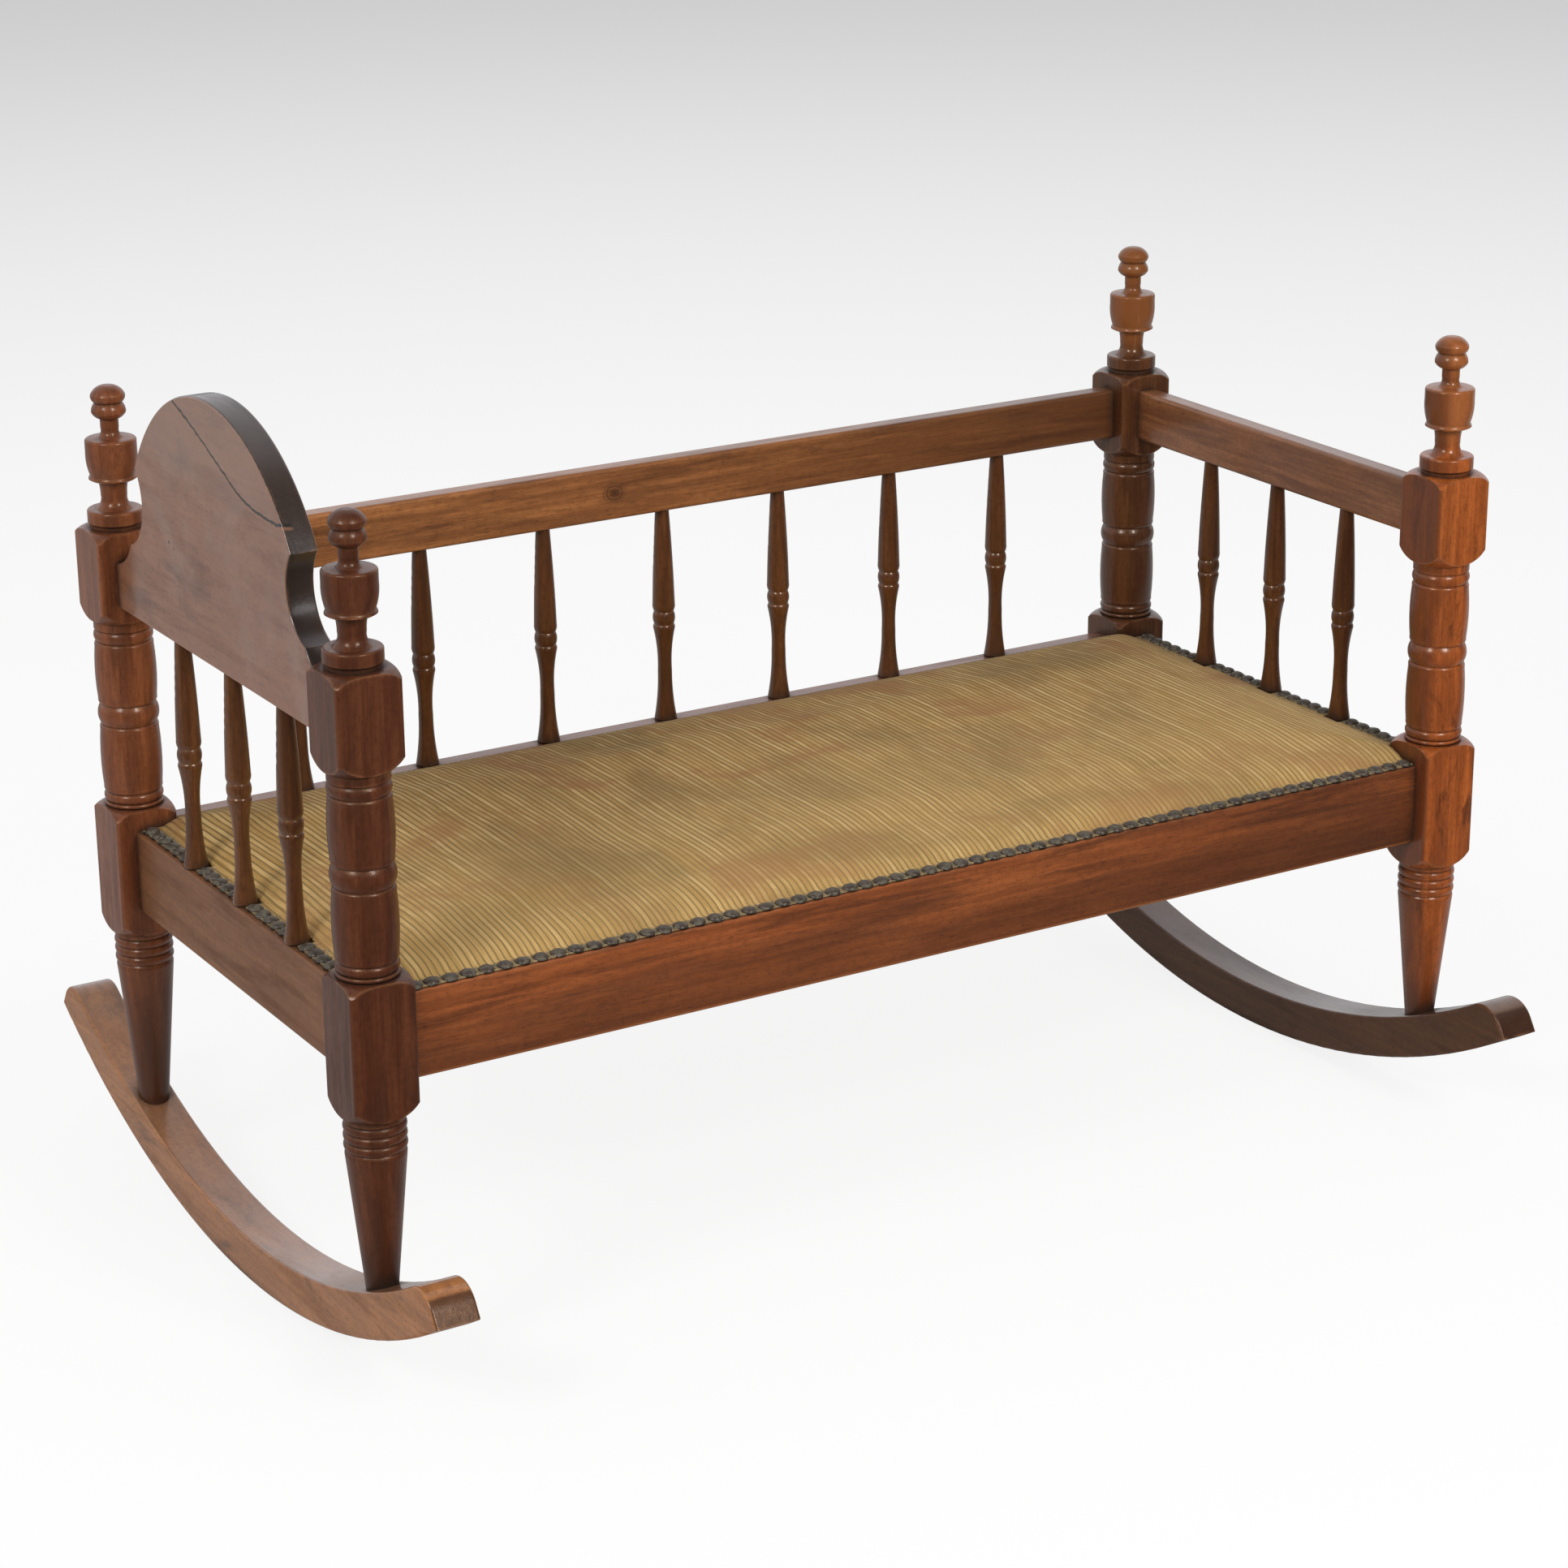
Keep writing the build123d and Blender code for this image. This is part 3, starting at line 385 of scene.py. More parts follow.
def varnished(name, grain_axis, body, smudge=0.4, glow=0.35, gloss=0.28, coat=0.6, figure=0.8,
              dusty=0.0, pith=(0.03, 0.02, 0.0), extra=None, top_coat=0.0, tint=(1.0, 0.70, 0.48)):
    """Old varnished wood of the average colour body.

    smudge is how much of it is darkened, glow how much is thin and light, gloss the roughness of
    the varnish, coat the strength of the polish and top_coat what is added to it on faces that
    look up. figure is how much the grain shows, dusty how much film lies on the wood, pith where
    the growth rings have their middle, and tint the colour of the shine under the polish. extra
    may paint over it all.
    """
    finish = bpy.context.scene.cradle_finish
    material, n, shader = new_material(name)
    dark, main, light = tones(body)
    place = n.place()
    parts = n.split(place)
    order = {"X": (1, 2, 0), "Y": (2, 0, 1), "Z": (0, 1, 2)}[grain_axis]
    along = n.joined(*(parts[i] for i in order))
    along = n.vector("ADD", along, pith)
    grain = n.group(grain_group(), {"Vector": along})
    smudges = n.group(smudge_group(), {"Vector": along})
    edges = n.group(edge_group(), {"Vector": place})

    paint_on = n.over(main, light, grain["Rings"], 0.45 * figure)
    paint_on = n.over(paint_on, light, smudges["Broad"], glow)
    paint_on = n.over(paint_on, dark, grain["Bands"], 0.55 * figure)
    paint_on = n.over(paint_on, dark, grain["Streaks"], 0.50 * figure)
    paint_on = n.over(paint_on, dark, smudges["Patches"], smudge)
    mottled = n.span(n.noise(place, 240.0, 6.0, 0.75), 0.46, 0.62)
    paint_on = n.over(paint_on, dark, mottled, 0.28)
    paint_on = n.over(paint_on, finish.umber, grain["Pores"], 0.50)
    paint_on = n.over(paint_on, finish.grime_and_shade, smudges["Specks"], 0.35)
    if dusty:
        film = n.times(n.noise(place, 60.0, 6.0, 0.7), dusty)
        paint_on = n.mix(film, paint_on, finish.dust_and_sheen)
    if extra:
        paint_on = extra(n, place, paint_on)
    paint_on = n.over(paint_on, finish.worn_and_highlight, edges["Edge"], 0.6)
    # Painted shade with grime darkens the grooves and joints.
    paint_on = n.over(paint_on, finish.grime_and_shade, edges["Groove Dirt And Shade"], 0.9)

    rough = n.plus(gloss, n.times(smudges["Patches"], 0.16))
    rough = n.plus(rough, n.times(edges["Groove Dirt And Shade"], 0.30), clamp=True)
    relief = n.minus(n.times(grain["Streaks"], 0.35), n.times(grain["Pores"], 0.65))
    relief = n.plus(relief, n.times(n.noise(place, 55.0, 3.0), 1.6))
    bump = n.add("ShaderNodeBump", {"Strength": 0.35, "Distance": 0.0004, "Height": relief})
    n.feed(shader.inputs["Base Color"], paint_on)
    n.feed(shader.inputs["Roughness"], rough)
    n.feed(shader.inputs["Normal"], bump.outputs[0])
    covered = n.minus(1.0, n.times(edges["Groove Dirt And Shade"], 0.9))
    polish = n.plus(n.times(facing(n, "Z", 0.50, 0.90), top_coat), coat)
    n.feed(shader.inputs["Coat Weight"], n.times(covered, polish))
    shader.inputs["Specular Tint"].default_value = (*tint, 1)
    shader.inputs["Coat Roughness"].default_value = 0.17
    shader.inputs["Specular IOR Level"].default_value = 0.35
    return material


def darker_foot(level, reach=0.055):
    """Paints the foot of a leg darker, from a level up over the reach."""
    def marks(n, place, body):
        finish = bpy.context.scene.cradle_finish
        height = n.plus(n.split(place)[2], n.times(n.noise(place, 70.0, 4.0), 0.03))
        return n.over(body, finish.umber, n.span(height, level + reach, level + 0.015), 0.65)
    return marks


def on_finial(n, place):
    """Where a post's finial is: 0 below its foot and 1 above it."""
    return n.span(n.split(place)[2], 0.505, 0.525)


def foot_back_marks(n, place, body):
    """The dark back post: a paler, redder finial."""
    finish = bpy.context.scene.cradle_finish
    return darker_foot(0.075)(n, place, n.over(body, finish.amber, on_finial(n, place), 0.42))


def foot_front_marks(n, place, body):
    """The orange post: a browner finial, dark smears and a darker face towards the head end."""
    finish = bpy.context.scene.cradle_finish
    smear = n.noise(n.scaled(place, (1.0, 1.0, 0.35)), 42.0, 6.0, 0.65, 0.6)
    body = n.over(body, finish.umber, n.span(smear, 0.56, 0.68), 0.65)
    body = n.over(body, finish.back_top_rail, on_finial(n, place), 0.45)
    body = n.over(body, finish.head_front_post, facing(n, "X", -0.45, -0.92), 0.72)
    return darker_foot(0.075)(n, place, body)


def front_rail_marks(n, place, body):
    """The front rail: dark smears, darker low down and to the foot end, and a light lower edge."""
    finish = bpy.context.scene.cradle_finish
    low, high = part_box("seat_rail_front")
    parts = n.split(place)
    upper = n.span(parts[2], low.z + 0.020, high.z - 0.012)
    smear = n.noise(n.scaled(place, (0.07, 1.0, 1.0)), 115.0, 6.0, 0.66, 0.4)
    strength = n.plus(n.times(upper, 0.35), 0.18)
    smear = n.times(n.span(smear, 0.42, 0.62), strength)
    body = n.mix(smear, body, finish.umber)
    glow = n.noise(n.scaled(place, (0.10, 1.0, 1.0)), 44.0, 5.0, 0.6, 0.5)
    glow = n.times(n.span(glow, 0.54, 0.66), n.span(parts[2], high.z - 0.010, low.z + 0.012))
    body = n.over(body, finish.amber, glow, 0.15)
    shade = n.times(n.span(parts[2], low.z + 0.046, low.z + 0.012), 0.42)
    darker = n.times(n.span(parts[0], -0.05, 0.40), 0.28)
    body = n.mix(n.plus(shade, darker), body, finish.umber)
    edge = n.span(parts[2], low.z + 0.0030, low.z + 0.001)
    return n.over(body, finish.amber, edge, 0.4)


def back_top_marks(n, place, body):
    """The rail over the back spindles: darker to the foot end, with a knot left of its middle."""
    finish = bpy.context.scene.cradle_finish
    parts = n.split(place)
    darker = n.span(parts[0], -0.10, 0.40)
    body = n.over(body, finish.foot_back_post, darker, 0.75)
    smear = n.noise(n.scaled(place, (0.10, 1.0, 1.0)), 90.0, 6.0, 0.66, 0.4)
    body = n.over(body, finish.umber, n.span(smear, 0.48, 0.66), 0.40)
    knot_x, knot_z = -0.045, 0.463
    aside = n.times(n.minus(parts[0], knot_x), 0.75)
    upward = n.minus(parts[2], knot_z)
    distance = n.plus(n.length(aside, upward), n.times(n.noise(place, 160.0, 3.0), 0.003))
    ring = n.math("FRACT", n.math("DIVIDE", distance, 0.0024))
    near = n.span(distance, 0.0105, 0.0065)
    body = n.over(body, finish.umber, near, n.plus(n.times(ring, 0.6), 0.15))
    return n.over(body, finish.umber, n.span(distance, 0.0045, 0.003), 0.6)


def headboard_marks(n, place, body):
    """The headboard: a dark polished rim, a pale bloom of dust and painted sheen, a split across its outer
    face with a painted highlight on its lower lip, and two small dents.
    """
    finish = bpy.context.scene.cradle_finish
    parts = n.split(place)
    rim = n.minus(1.0, n.math("MAXIMUM", facing(n, "X", 0.5, 0.9), facing(n, "X", -0.5, -0.9)))
    smear = n.noise(n.scaled(place, (1.0, 0.45, 1.0)), 26.0, 6.0, 0.66, 0.8)
    body = n.over(body, finish.umber, n.span(smear, 0.50, 0.72), 0.5)
    # A pale bloom of dust and painted sheen, fullest near the top.
    bloom = n.noise(n.vector("ADD", place, (0.0, 0.4, 0.9)), 11.0, 6.0, 0.64, 0.6)
    bloom = n.plus(n.span(bloom, 0.44, 0.66), n.span(parts[2], 0.53, 0.60), clamp=True)
    body = n.over(body, finish.dust_and_sheen, bloom, 0.42)
    body = n.over(body, finish.grime_and_shade, rim, 0.92)
    split = ((-0.137, 0.567), (-0.111, 0.566), (-0.071, 0.570), (-0.035, 0.584), (0.008, 0.602),
             (0.040, 0.613))
    start, end = split[0][0], split[-1][0]
    share = n.math("DIVIDE", n.minus(parts[1], start), end - start)
    curve = n.add("ShaderNodeFloatCurve", {"Factor": 1.0, "Value": share})
    points = curve.mapping.curves[0].points
    points[0].location = (0.0, split[0][1])
    points[1].location = (1.0, split[-1][1])
    for y, z in split[1:-1]:
        points.new((y - start) / (end - start), z)
    curve.mapping.update()
    jitter = n.times(n.minus(n.noise(place, 130.0, 4.0), 0.5), 0.004)
    below = n.minus(n.plus(parts[2], jitter), curve.outputs[0])
    apart = n.math("ABSOLUTE", below)
    outer = n.span(parts[0], -0.436, -0.440)
    within = n.times(n.math("GREATER_THAN", share, 0.0), n.math("LESS_THAN", share, 1.0))
    shown = n.times(outer, within)
    # A painted highlight along the split's lower lip.
    lip = n.span(n.math("ABSOLUTE", n.plus(below, 0.0019)), 0.0013, 0.0005)
    body = n.over(body, finish.worn_and_highlight, n.times(lip, shown), 0.45)
    body = n.over(body, finish.grime_and_shade, n.span(apart, 0.0014, 0.0006), shown)
    for dent_y, dent_z, size in ((0.060, 0.512, 0.0016), (0.052, 0.509, 0.0011)):
        gap = n.length(n.minus(parts[1], dent_y), n.minus(parts[2], dent_z))
        body = n.over(body, finish.grime_and_shade, n.span(gap, size, size * 0.6), outer)
    return body


def rocker_marks(n, place, body):
    """A rocker: darker cut ends, dark scuffs along its sides and a pale film of dust and painted sheen on
    top.
    """
    finish = bpy.context.scene.cradle_finish
    ends = n.times(facing(n, "Y", -0.48, -0.62), 0.80)
    scuffs = n.noise(n.scaled(place, (1.0, 0.35, 1.0)), 36.0, 6.0, 0.66, 0.6)
    body = n.over(body, finish.umber, n.span(scuffs, 0.55, 0.70), 0.55)
    # Faces that look up get dust and a painted sheen.
    film = n.times(facing(n, "Z", 0.55, 0.90), n.span(n.noise(place, 14.0, 5.0), 0.35, 0.60))
    body = n.over(body, finish.dust_and_sheen, film, 0.30)
    return n.mix(ends, body, finish.umber)


def paint(node_name, material):
    """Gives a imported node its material."""
    node = frame["nodes"][node_name]
    for slot in node.material_slots:
        slot.material = material


def varnish(node_name, name, grain_axis, body, **look):
    """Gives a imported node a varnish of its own."""
    paint(node_name, varnished(name, grain_axis, body, **look))


class CRADLE_OT_varnish_posts(Operator):
    """Varnish the four turned posts, each with its own tone"""
    bl_idname = "cradle.varnish_posts"
    bl_label = "Varnish the posts"

    def execute(self, context):
        finish = context.scene.cradle_finish
        looks = {
            "post_head_front": dict(body=finish.head_front_post, smudge=0.45, glow=0.25, coat=0.14,
                                    extra=darker_foot(0.075)),
            "post_head_back": dict(body=finish.head_back_post, smudge=0.45, coat=0.30,
                                   extra=darker_foot(0.095, 0.15)),
            "post_foot_front": dict(body=finish.foot_front_post, glow=0.40, gloss=0.24, coat=0.40,
                                    extra=foot_front_marks),
            "post_foot_back": dict(body=finish.foot_back_post, gloss=0.26, coat=0.40,
                                   extra=foot_back_marks),
        }
        for name, look in looks.items():
            low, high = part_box(name)
            pith = (-(low.x + high.x) / 2 + 0.012, -(low.y + high.y) / 2 - 0.008, 0.0)
            varnish(name, f"{name}_varnish", "Z", pith=pith, **look)
        return {"FINISHED"}


class CRADLE_OT_varnish_rockers(Operator):
    """Varnish the two rockers"""
    bl_idname = "cradle.varnish_rockers"
    bl_label = "Varnish the rockers"

    def execute(self, context):
        finish = context.scene.cradle_finish
        varnish("rocker_head", "rocker_head_varnish", "Y", finish.head_rocker, smudge=0.30, gloss=0.34,
                coat=0.3, top_coat=0.7, figure=0.5, dusty=0.05, pith=(0.2, 0.5, 0), extra=rocker_marks)
        varnish("rocker_foot", "rocker_foot_varnish", "Y", finish.foot_rocker, glow=0.30, gloss=0.40,
                coat=0.15, top_coat=0.8, figure=0.6, pith=(0.15, -0.3, 0), extra=rocker_marks)
        return {"FINISHED"}


class CRADLE_OT_varnish_rails(Operator):
    """Varnish the four seat rails and the two top rails"""
    bl_idname = "cradle.varnish_rails"
    bl_label = "Varnish the rails"

    def execute(self, context):
        finish = context.scene.cradle_finish
        varnish("seat_rail_front", "front_rail_varnish", "X", finish.front_rail, gloss=0.36,
                coat=0.20, figure=0.55, pith=(0.30, -0.20, 0), extra=front_rail_marks)
        varnish("seat_rail_back", "back_rail_varnish", "X", finish.back_rail, glow=0.30, gloss=0.34,
                dusty=0.2, pith=(-0.25, -0.22, 0))
        varnish("seat_rail_head", "head_rail_varnish", "Y", finish.head_rail, glow=0.30, gloss=0.44,
                coat=0.10, figure=0.5, dusty=0.08, pith=(-0.20, 0.52, 0))
        varnish("seat_rail_foot", "foot_rail_varnish", "Y", finish.foot_rail, gloss=0.36,
                pith=(-0.22, -0.36, 0))
        varnish("top_rail_back", "back_top_rail_varnish", "X", finish.back_top_rail, smudge=0.35,
                glow=0.30, gloss=0.30, pith=(-0.14, -0.43, 0), extra=back_top_marks)
        varnish("top_rail_foot", "foot_top_rail_varnish", "Y", finish.foot_top_rail, smudge=0.45,
                gloss=0.30, pith=(-0.40, -0.48, 0))
        return {"FINISHED"}


class CRADLE_OT_varnish_headboard(Operator):
    """Varnish the headboard, with its split and dark rim"""
    bl_idname = "cradle.varnish_headboard"
    bl_label = "Varnish the headboard"

    def execute(self, context):
        finish = context.scene.cradle_finish
        varnish("headboard", "headboard_varnish", "Y", finish.headboard, smudge=0.30, gloss=0.34,
                figure=0.25, dusty=0.20, tint=(1.0, 1.0, 1.0), pith=(-0.36, 0.40, 0),
                extra=headboard_marks)
        return {"FINISHED"}


class CRADLE_OT_varnish_spindles(Operator):
    """Varnish the thirteen spindles"""
    bl_idname = "cradle.varnish_spindles"
    bl_label = "Varnish the spindles"

    def execute(self, context):
        finish = context.scene.cradle_finish
        material = varnished("spindle_varnish", "Z", finish.spindles, glow=0.45, gloss=0.26)
        for name in BACK_SPINDLES + END_SPINDLES:
            paint(name, material)
        return {"FINISHED"}


class CRADLE_OT_finish_hidden(Operator):
    """Give the boards, cleats, tacks and screws under the seat bare pine and dull steel"""
    bl_idname = "cradle.finish_hidden"
    bl_label = "Finish the hidden parts"

    def execute(self, context):
        finish = context.scene.cradle_finish
        pine, n, shader = new_material("bare_pine")
        place = n.place()
        parts = n.split(place)
        along = n.joined(parts[0], parts[2], parts[1])
        grain = n.group(grain_group(), {"Vector": along, "Ring Pitch": 0.005})
        smudges = n.group(smudge_group(), {"Vector": place})
        body = n.over(finish.pine, finish.amber, grain["Rings"], 0.5)
        body = n.over(body, finish.worn_and_highlight, grain["Streaks"], 0.35)
        body = n.over(body, finish.dust_and_sheen, smudges["Patches"], 0.45)
        n.feed(shader.inputs["Base Color"], body)
        shader.inputs["Roughness"].default_value = 0.75
        bump = n.add("ShaderNodeBump", {"Strength": 0.4, "Distance": 0.0004, "Height": grain["Streaks"]})
        n.feed(shader.inputs["Normal"], bump.outputs[0])
        for name in HIDDEN_WOOD:
            paint(name, pine)
        steel, n, shader = new_material("dull_steel")
        rust = n.span(n.noise(n.place(), 900.0, 4.0), 0.50, 0.68)
        n.feed(shader.inputs["Base Color"], n.mix(rust, (0.30, 0.29, 0.28), finish.worn_and_highlight))
        n.feed(shader.inputs["Metallic"], n.minus(1.0, rust))
        shader.inputs["Roughness"].default_value = 0.45
        for name in STEEL_NODES:
            paint(name, steel)
        return {"FINISHED"}


def ribbed_fabric():
    """Ribbed weave in straw, ochre and olive, with ribs that run from front to back."""
    finish = bpy.context.scene.cradle_finish
    seat = bpy.context.scene.cradle_seat
    material, n, shader = new_material("ribbed_fabric")
    place = n.place()
    wander = n.noise(n.scaled(place, (1, 0.5, 1)), 11.0, 3.0)
    wander = n.times(n.minus(wander, 0.5), 0.012)
    parts = n.split(place)
    across = n.plus(parts[0], wander)
    turns = n.math("DIVIDE", across, seat.rib)
    rib = n.math("ABSOLUTE", n.math("SINE", n.times(turns, pi)))
    number = n.math("FLOOR", turns)
    tint = n.add("ShaderNodeTexWhiteNoise", {"W": number}, noise_dimensions="1D").outputs["Value"]
    other = n.math("MODULO", n.plus(number, 1000.0), 2.0)
    half = n.math("ABSOLUTE", n.math("SINE", n.times(turns, 2 * pi)))
    streak = n.joined(across, n.times(parts[1], 0.05), 0.0)
    yarn = n.noise(streak, 400.0, 4.0, 0.65)
    faded = n.noise(n.joined(across, n.times(parts[1], 0.12), 0.0), 42.0, 4.0, 0.6)
    picks = n.noise(n.scaled(place, (0.5, 1.0, 0.0)), 1400.0, 2.0, 0.6)
    patches = n.noise(place, 7.5, 4.0, 0.55, 0.5)
    reds = n.noise(n.vector("ADD", place, (3.1, 1.7, 0.4)), 9.0, 5.0, 0.62, 0.6)
    body = n.mix(n.span(yarn, 0.40, 0.60), finish.ochre, finish.straw)
    body = n.over(body, finish.straw, n.span(tint, 0.3, 1.0), 0.75)
    body = n.over(body, finish.ochre, other, 0.45)
    body = n.over(body, finish.olive, n.span(rib, 0.90, 0.15), 0.92)
    body = n.over(body, finish.olive, n.span(half, 0.6, 0.0), 0.25)
    body = n.over(body, finish.ochre, n.span(faded, 0.42, 0.62), 0.30)
    body = n.over(body, finish.straw, n.span(picks, 0.45, 0.75), 0.30)
    body = n.over(body, finish.olive, n.span(patches, 0.46, 0.66), 0.46)
    body = n.over(body, finish.stain, n.span(reds, 0.50, 0.66), 0.62)
    worn_front = n.span(parts[1], 0.12, -0.16)
    body = n.over(body, finish.straw, worn_front, 0.22)
    body = n.over(body, finish.olive, n.span(parts[1], 0.0, 0.17), 0.22)
    front_row, head_row, foot_row = (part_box(row) for row in NAIL_ROWS)
    margin = n.span(parts[1], front_row[1].y + 0.002, front_row[1].y - 0.001)
    margin = n.math("MAXIMUM", margin, n.span(parts[0], head_row[1].x + 0.002, head_row[1].x - 0.001))
    margin = n.math("MAXIMUM", margin, n.span(parts[0], foot_row[0].x - 0.002, foot_row[0].x + 0.001))
    body = n.over(body, finish.patina, margin, 0.65)
    height = n.plus(n.times(rib, 0.55), n.times(half, 0.15))
    height = n.plus(height, n.times(yarn, 0.35))
    height = n.plus(height, n.times(picks, 0.35))
    bump = n.add("ShaderNodeBump", {"Strength": 0.75, "Distance": 0.0009, "Height": height})
    n.feed(shader.inputs["Base Color"], body)
    n.feed(shader.inputs["Normal"], bump.outputs[0])
    shader.inputs["Roughness"].default_value = 0.92
    shader.inputs["Specular IOR Level"].default_value = 0.2
    shader.inputs["Sheen Weight"].default_value = 0.03
    shader.inputs["Sheen Roughness"].default_value = 0.5
    return material


def as_object(name, bm, material, smooth=True):
    """A new object at the origin from a bmesh."""
    mesh = bpy.data.meshes.new(name)
    bm.to_mesh(mesh)
    bm.free()
    for face in mesh.polygons:
        face.use_smooth = smooth
    mesh.materials.append(material)
    made = bpy.data.objects.new(name, mesh)
    bpy.context.scene.collection.objects.link(made)
    return made


def notch(name, square=False):
    """The notch that the fabric has round a post, or a square one round a spindle: two X, then two Y."""
    low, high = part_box(name)
    if square:
        middle_x, middle_y = (low.x + high.x) / 2, (low.y + high.y) / 2
        reach = (high.x - low.x) / 2 + NOTCH_GAP
        return (middle_x - reach, middle_x + reach, middle_y - reach, middle_y + reach)
    return (low.x - NOTCH_GAP, high.x + NOTCH_GAP, low.y - NOTCH_GAP, high.y + NOTCH_GAP)


class SeatPlan:
    """Where the pad's raised part and the notches round the posts and end spindles lie."""

    def __init__(self, seat):
        self.low, self.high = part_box("seat_cover")
        front_low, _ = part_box("seat_rail_front")
        self.base = self.low.z
        self.post_notches = [notch(name) for name in POSTS]
        self.spindle_notches = [notch(name, square=True) for name in END_SPINDLES]
        posts_x = sum(abs(sum(c.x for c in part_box(name))) / 2 for name in POSTS) / len(POSTS)
        self.half_x = posts_x - seat.end_inset
        self.front = front_low.y + seat.front_inset
        self.back = self.high.y - BACK_HEM
        self.corner = seat.corner

    def inside(self, x, y):
        """Distance from the edge of the raised part, positive inside it."""
        middle = (self.front + self.back) / 2
        dx = abs(x) - self.half_x + self.corner
        dy = abs(y - middle) - (self.back - self.front) / 2 + self.corner
        outside = hypot(max(dx, 0.0), max(dy, 0.0))
        return self.corner - outside - min(max(dx, dy), 0.0)


def cut_line(bm, point, normal):
    """Cuts a whole mesh at a plane, so that edges follow it."""
    bmesh.ops.bisect_plane(bm, geom=bm.verts[:] + bm.edges[:] + bm.faces[:], dist=0.0002,
                           plane_co=point, plane_no=normal)


def seat_sheet(plan, seat):
    """The seat's upper surface as a grid, cut round the posts and spindles and closed below."""
    bm = bmesh.new()
    width = plan.high.x - plan.low.x
    depth = plan.high.y - plan.low.y
    columns = round(width / seat.grid)
    rows = round(depth / seat.grid)
    bmesh.ops.create_grid(bm, x_segments=columns, y_segments=rows, size=0.5)
    bmesh.ops.scale(bm, vec=(width, depth, 1), verts=bm.verts)
    middle = (plan.low + plan.high) / 2
    bmesh.ops.translate(bm, vec=(middle.x, middle.y, plan.base + seat.cloth), verts=bm.verts)
    for x0, x1, y0, y1 in plan.post_notches:
        cut_line(bm, (x0 if x0 > 0 else x1, 0, 0), (1, 0, 0))
        cut_line(bm, (0, y0 if y0 > 0 else y1, 0), (0, 1, 0))
    for _, _, y0, y1 in plan.spindle_notches:
        cut_line(bm, (0, y0, 0), (0, 1, 0))
        cut_line(bm, (0, y1, 0), (0, 1, 0))
    for edge_x in {round(x0 if x0 > 0 else x1, 5) for x0, x1, _, _ in plan.spindle_notches}:
        cut_line(bm, (edge_x, 0, 0), (1, 0, 0))

    def cut_away(face):
        centre = face.calc_center_median()
        for x0, x1, y0, y1 in plan.post_notches:
            if x0 < centre.x < x1 and y0 < centre.y < y1:
                return True
        for x0, x1, y0, y1 in plan.spindle_notches:
            beyond = centre.x > x0 if x0 > 0 else centre.x < x1
            if beyond and y0 < centre.y < y1:
                return True
        return False

    bmesh.ops.delete(bm, geom=[face for face in bm.faces if cut_away(face)], context="FACES")
    rim = [edge for edge in bm.edges if edge.is_boundary]
    skirt = bmesh.ops.extrude_edge_only(bm, edges=rim)["geom"]
    for vert in (item for item in skirt if isinstance(item, bmesh.types.BMVert)):
        vert.co.z = plan.base + 0.0002
    lower = [edge for edge in bm.edges if edge.is_boundary]
    bmesh.ops.contextual_create(bm, geom=lower)
    bmesh.ops.recalc_face_normals(bm, faces=bm.faces)
    return bm


def raise_crown(verts, plan, seat, share):
    """Lifts vertices by a share of the pad's crown, or lowers them where the share is negative."""
    for vert in verts:
        inset = plan.inside(vert.co.x, vert.co.y)
        if inset > 0:
            vert.co.z += share * seat.crown * (1 - exp(-inset / seat.shoulder))


def swell_pad(pad, plan, seat):
    """Swells the raised part with a short cloth simulation, held at its nailed margin."""
    rest = [vert.co.copy() for vert in pad.data.vertices]
    pins = pad.vertex_groups.new(name="nailed")
    held = [i for i, co in enumerate(rest) if plan.inside(co.x, co.y) <= 0.002 or co.z < plan.base + 0.001]
    pins.add(held, 1.0, "REPLACE")
    modifier = pad.modifiers.new("swell", "CLOTH")
    settings = modifier.settings
    settings.quality = 4
    settings.mass = 0.3
    settings.tension_stiffness = 25
    settings.compression_stiffness = 25
    settings.shear_stiffness = 10
    settings.bending_stiffness = 0.6
    settings.vertex_group_mass = pins.name
    settings.use_pressure = True
    settings.uniform_pressure_force = seat.pressure
    settings.effector_weights.gravity = 0
    modifier.collision_settings.use_collision = False
    modifier.point_cache.frame_start = 1
    modifier.point_cache.frame_end = seat.frames
    scene = bpy.context.scene
    for number in range(1, seat.frames + 1):
        scene.frame_set(number)
    shown = pad.evaluated_get(bpy.context.evaluated_depsgraph_get())
    moved = [vert.co.copy() for vert in shown.data.vertices]
    pad.modifiers.remove(modifier)
    scene.frame_set(1)
    for vert, start, end in zip(pad.data.vertices, rest, moved):
        vert.co = start + Vector((0, 0, min(max(end.z - start.z, 0), seat.swell)))
    pad.vertex_groups.remove(pins)


def pull_in(verts, plan, seat):
    """Lets the raised part settle unevenly, and pulls it down round each nail."""
    cells = {}
    for nail in (spot for row in NAIL_ROWS for spot in nail_places(row)):
        for i in range(-2, 3):
            for j in range(-2, 3):
                cells.setdefault((round(nail.x * 100) + i, round(nail.y * 100) + j), []).append(nail)
    for vert in verts:
        wander = noise.noise(Vector((vert.co.x * 9, vert.co.y * 9, 0.3)))
        fine = noise.noise(Vector((vert.co.x * 40, vert.co.y * 14, 1.7)))
        settle = 1 - exp(-plan.inside(vert.co.x, vert.co.y) / 0.03)
        vert.co.z += settle * (0.0010 * wander + 0.0003 * fine)
        near = cells.get((round(vert.co.x * 100), round(vert.co.y * 100)), [])
        pull = sum(exp(-((vert.co.xy - nail.xy).length / 0.009) ** 2) for nail in near)
        vert.co.z = max(vert.co.z - seat.pucker * pull * 2, plan.base + seat.cloth)


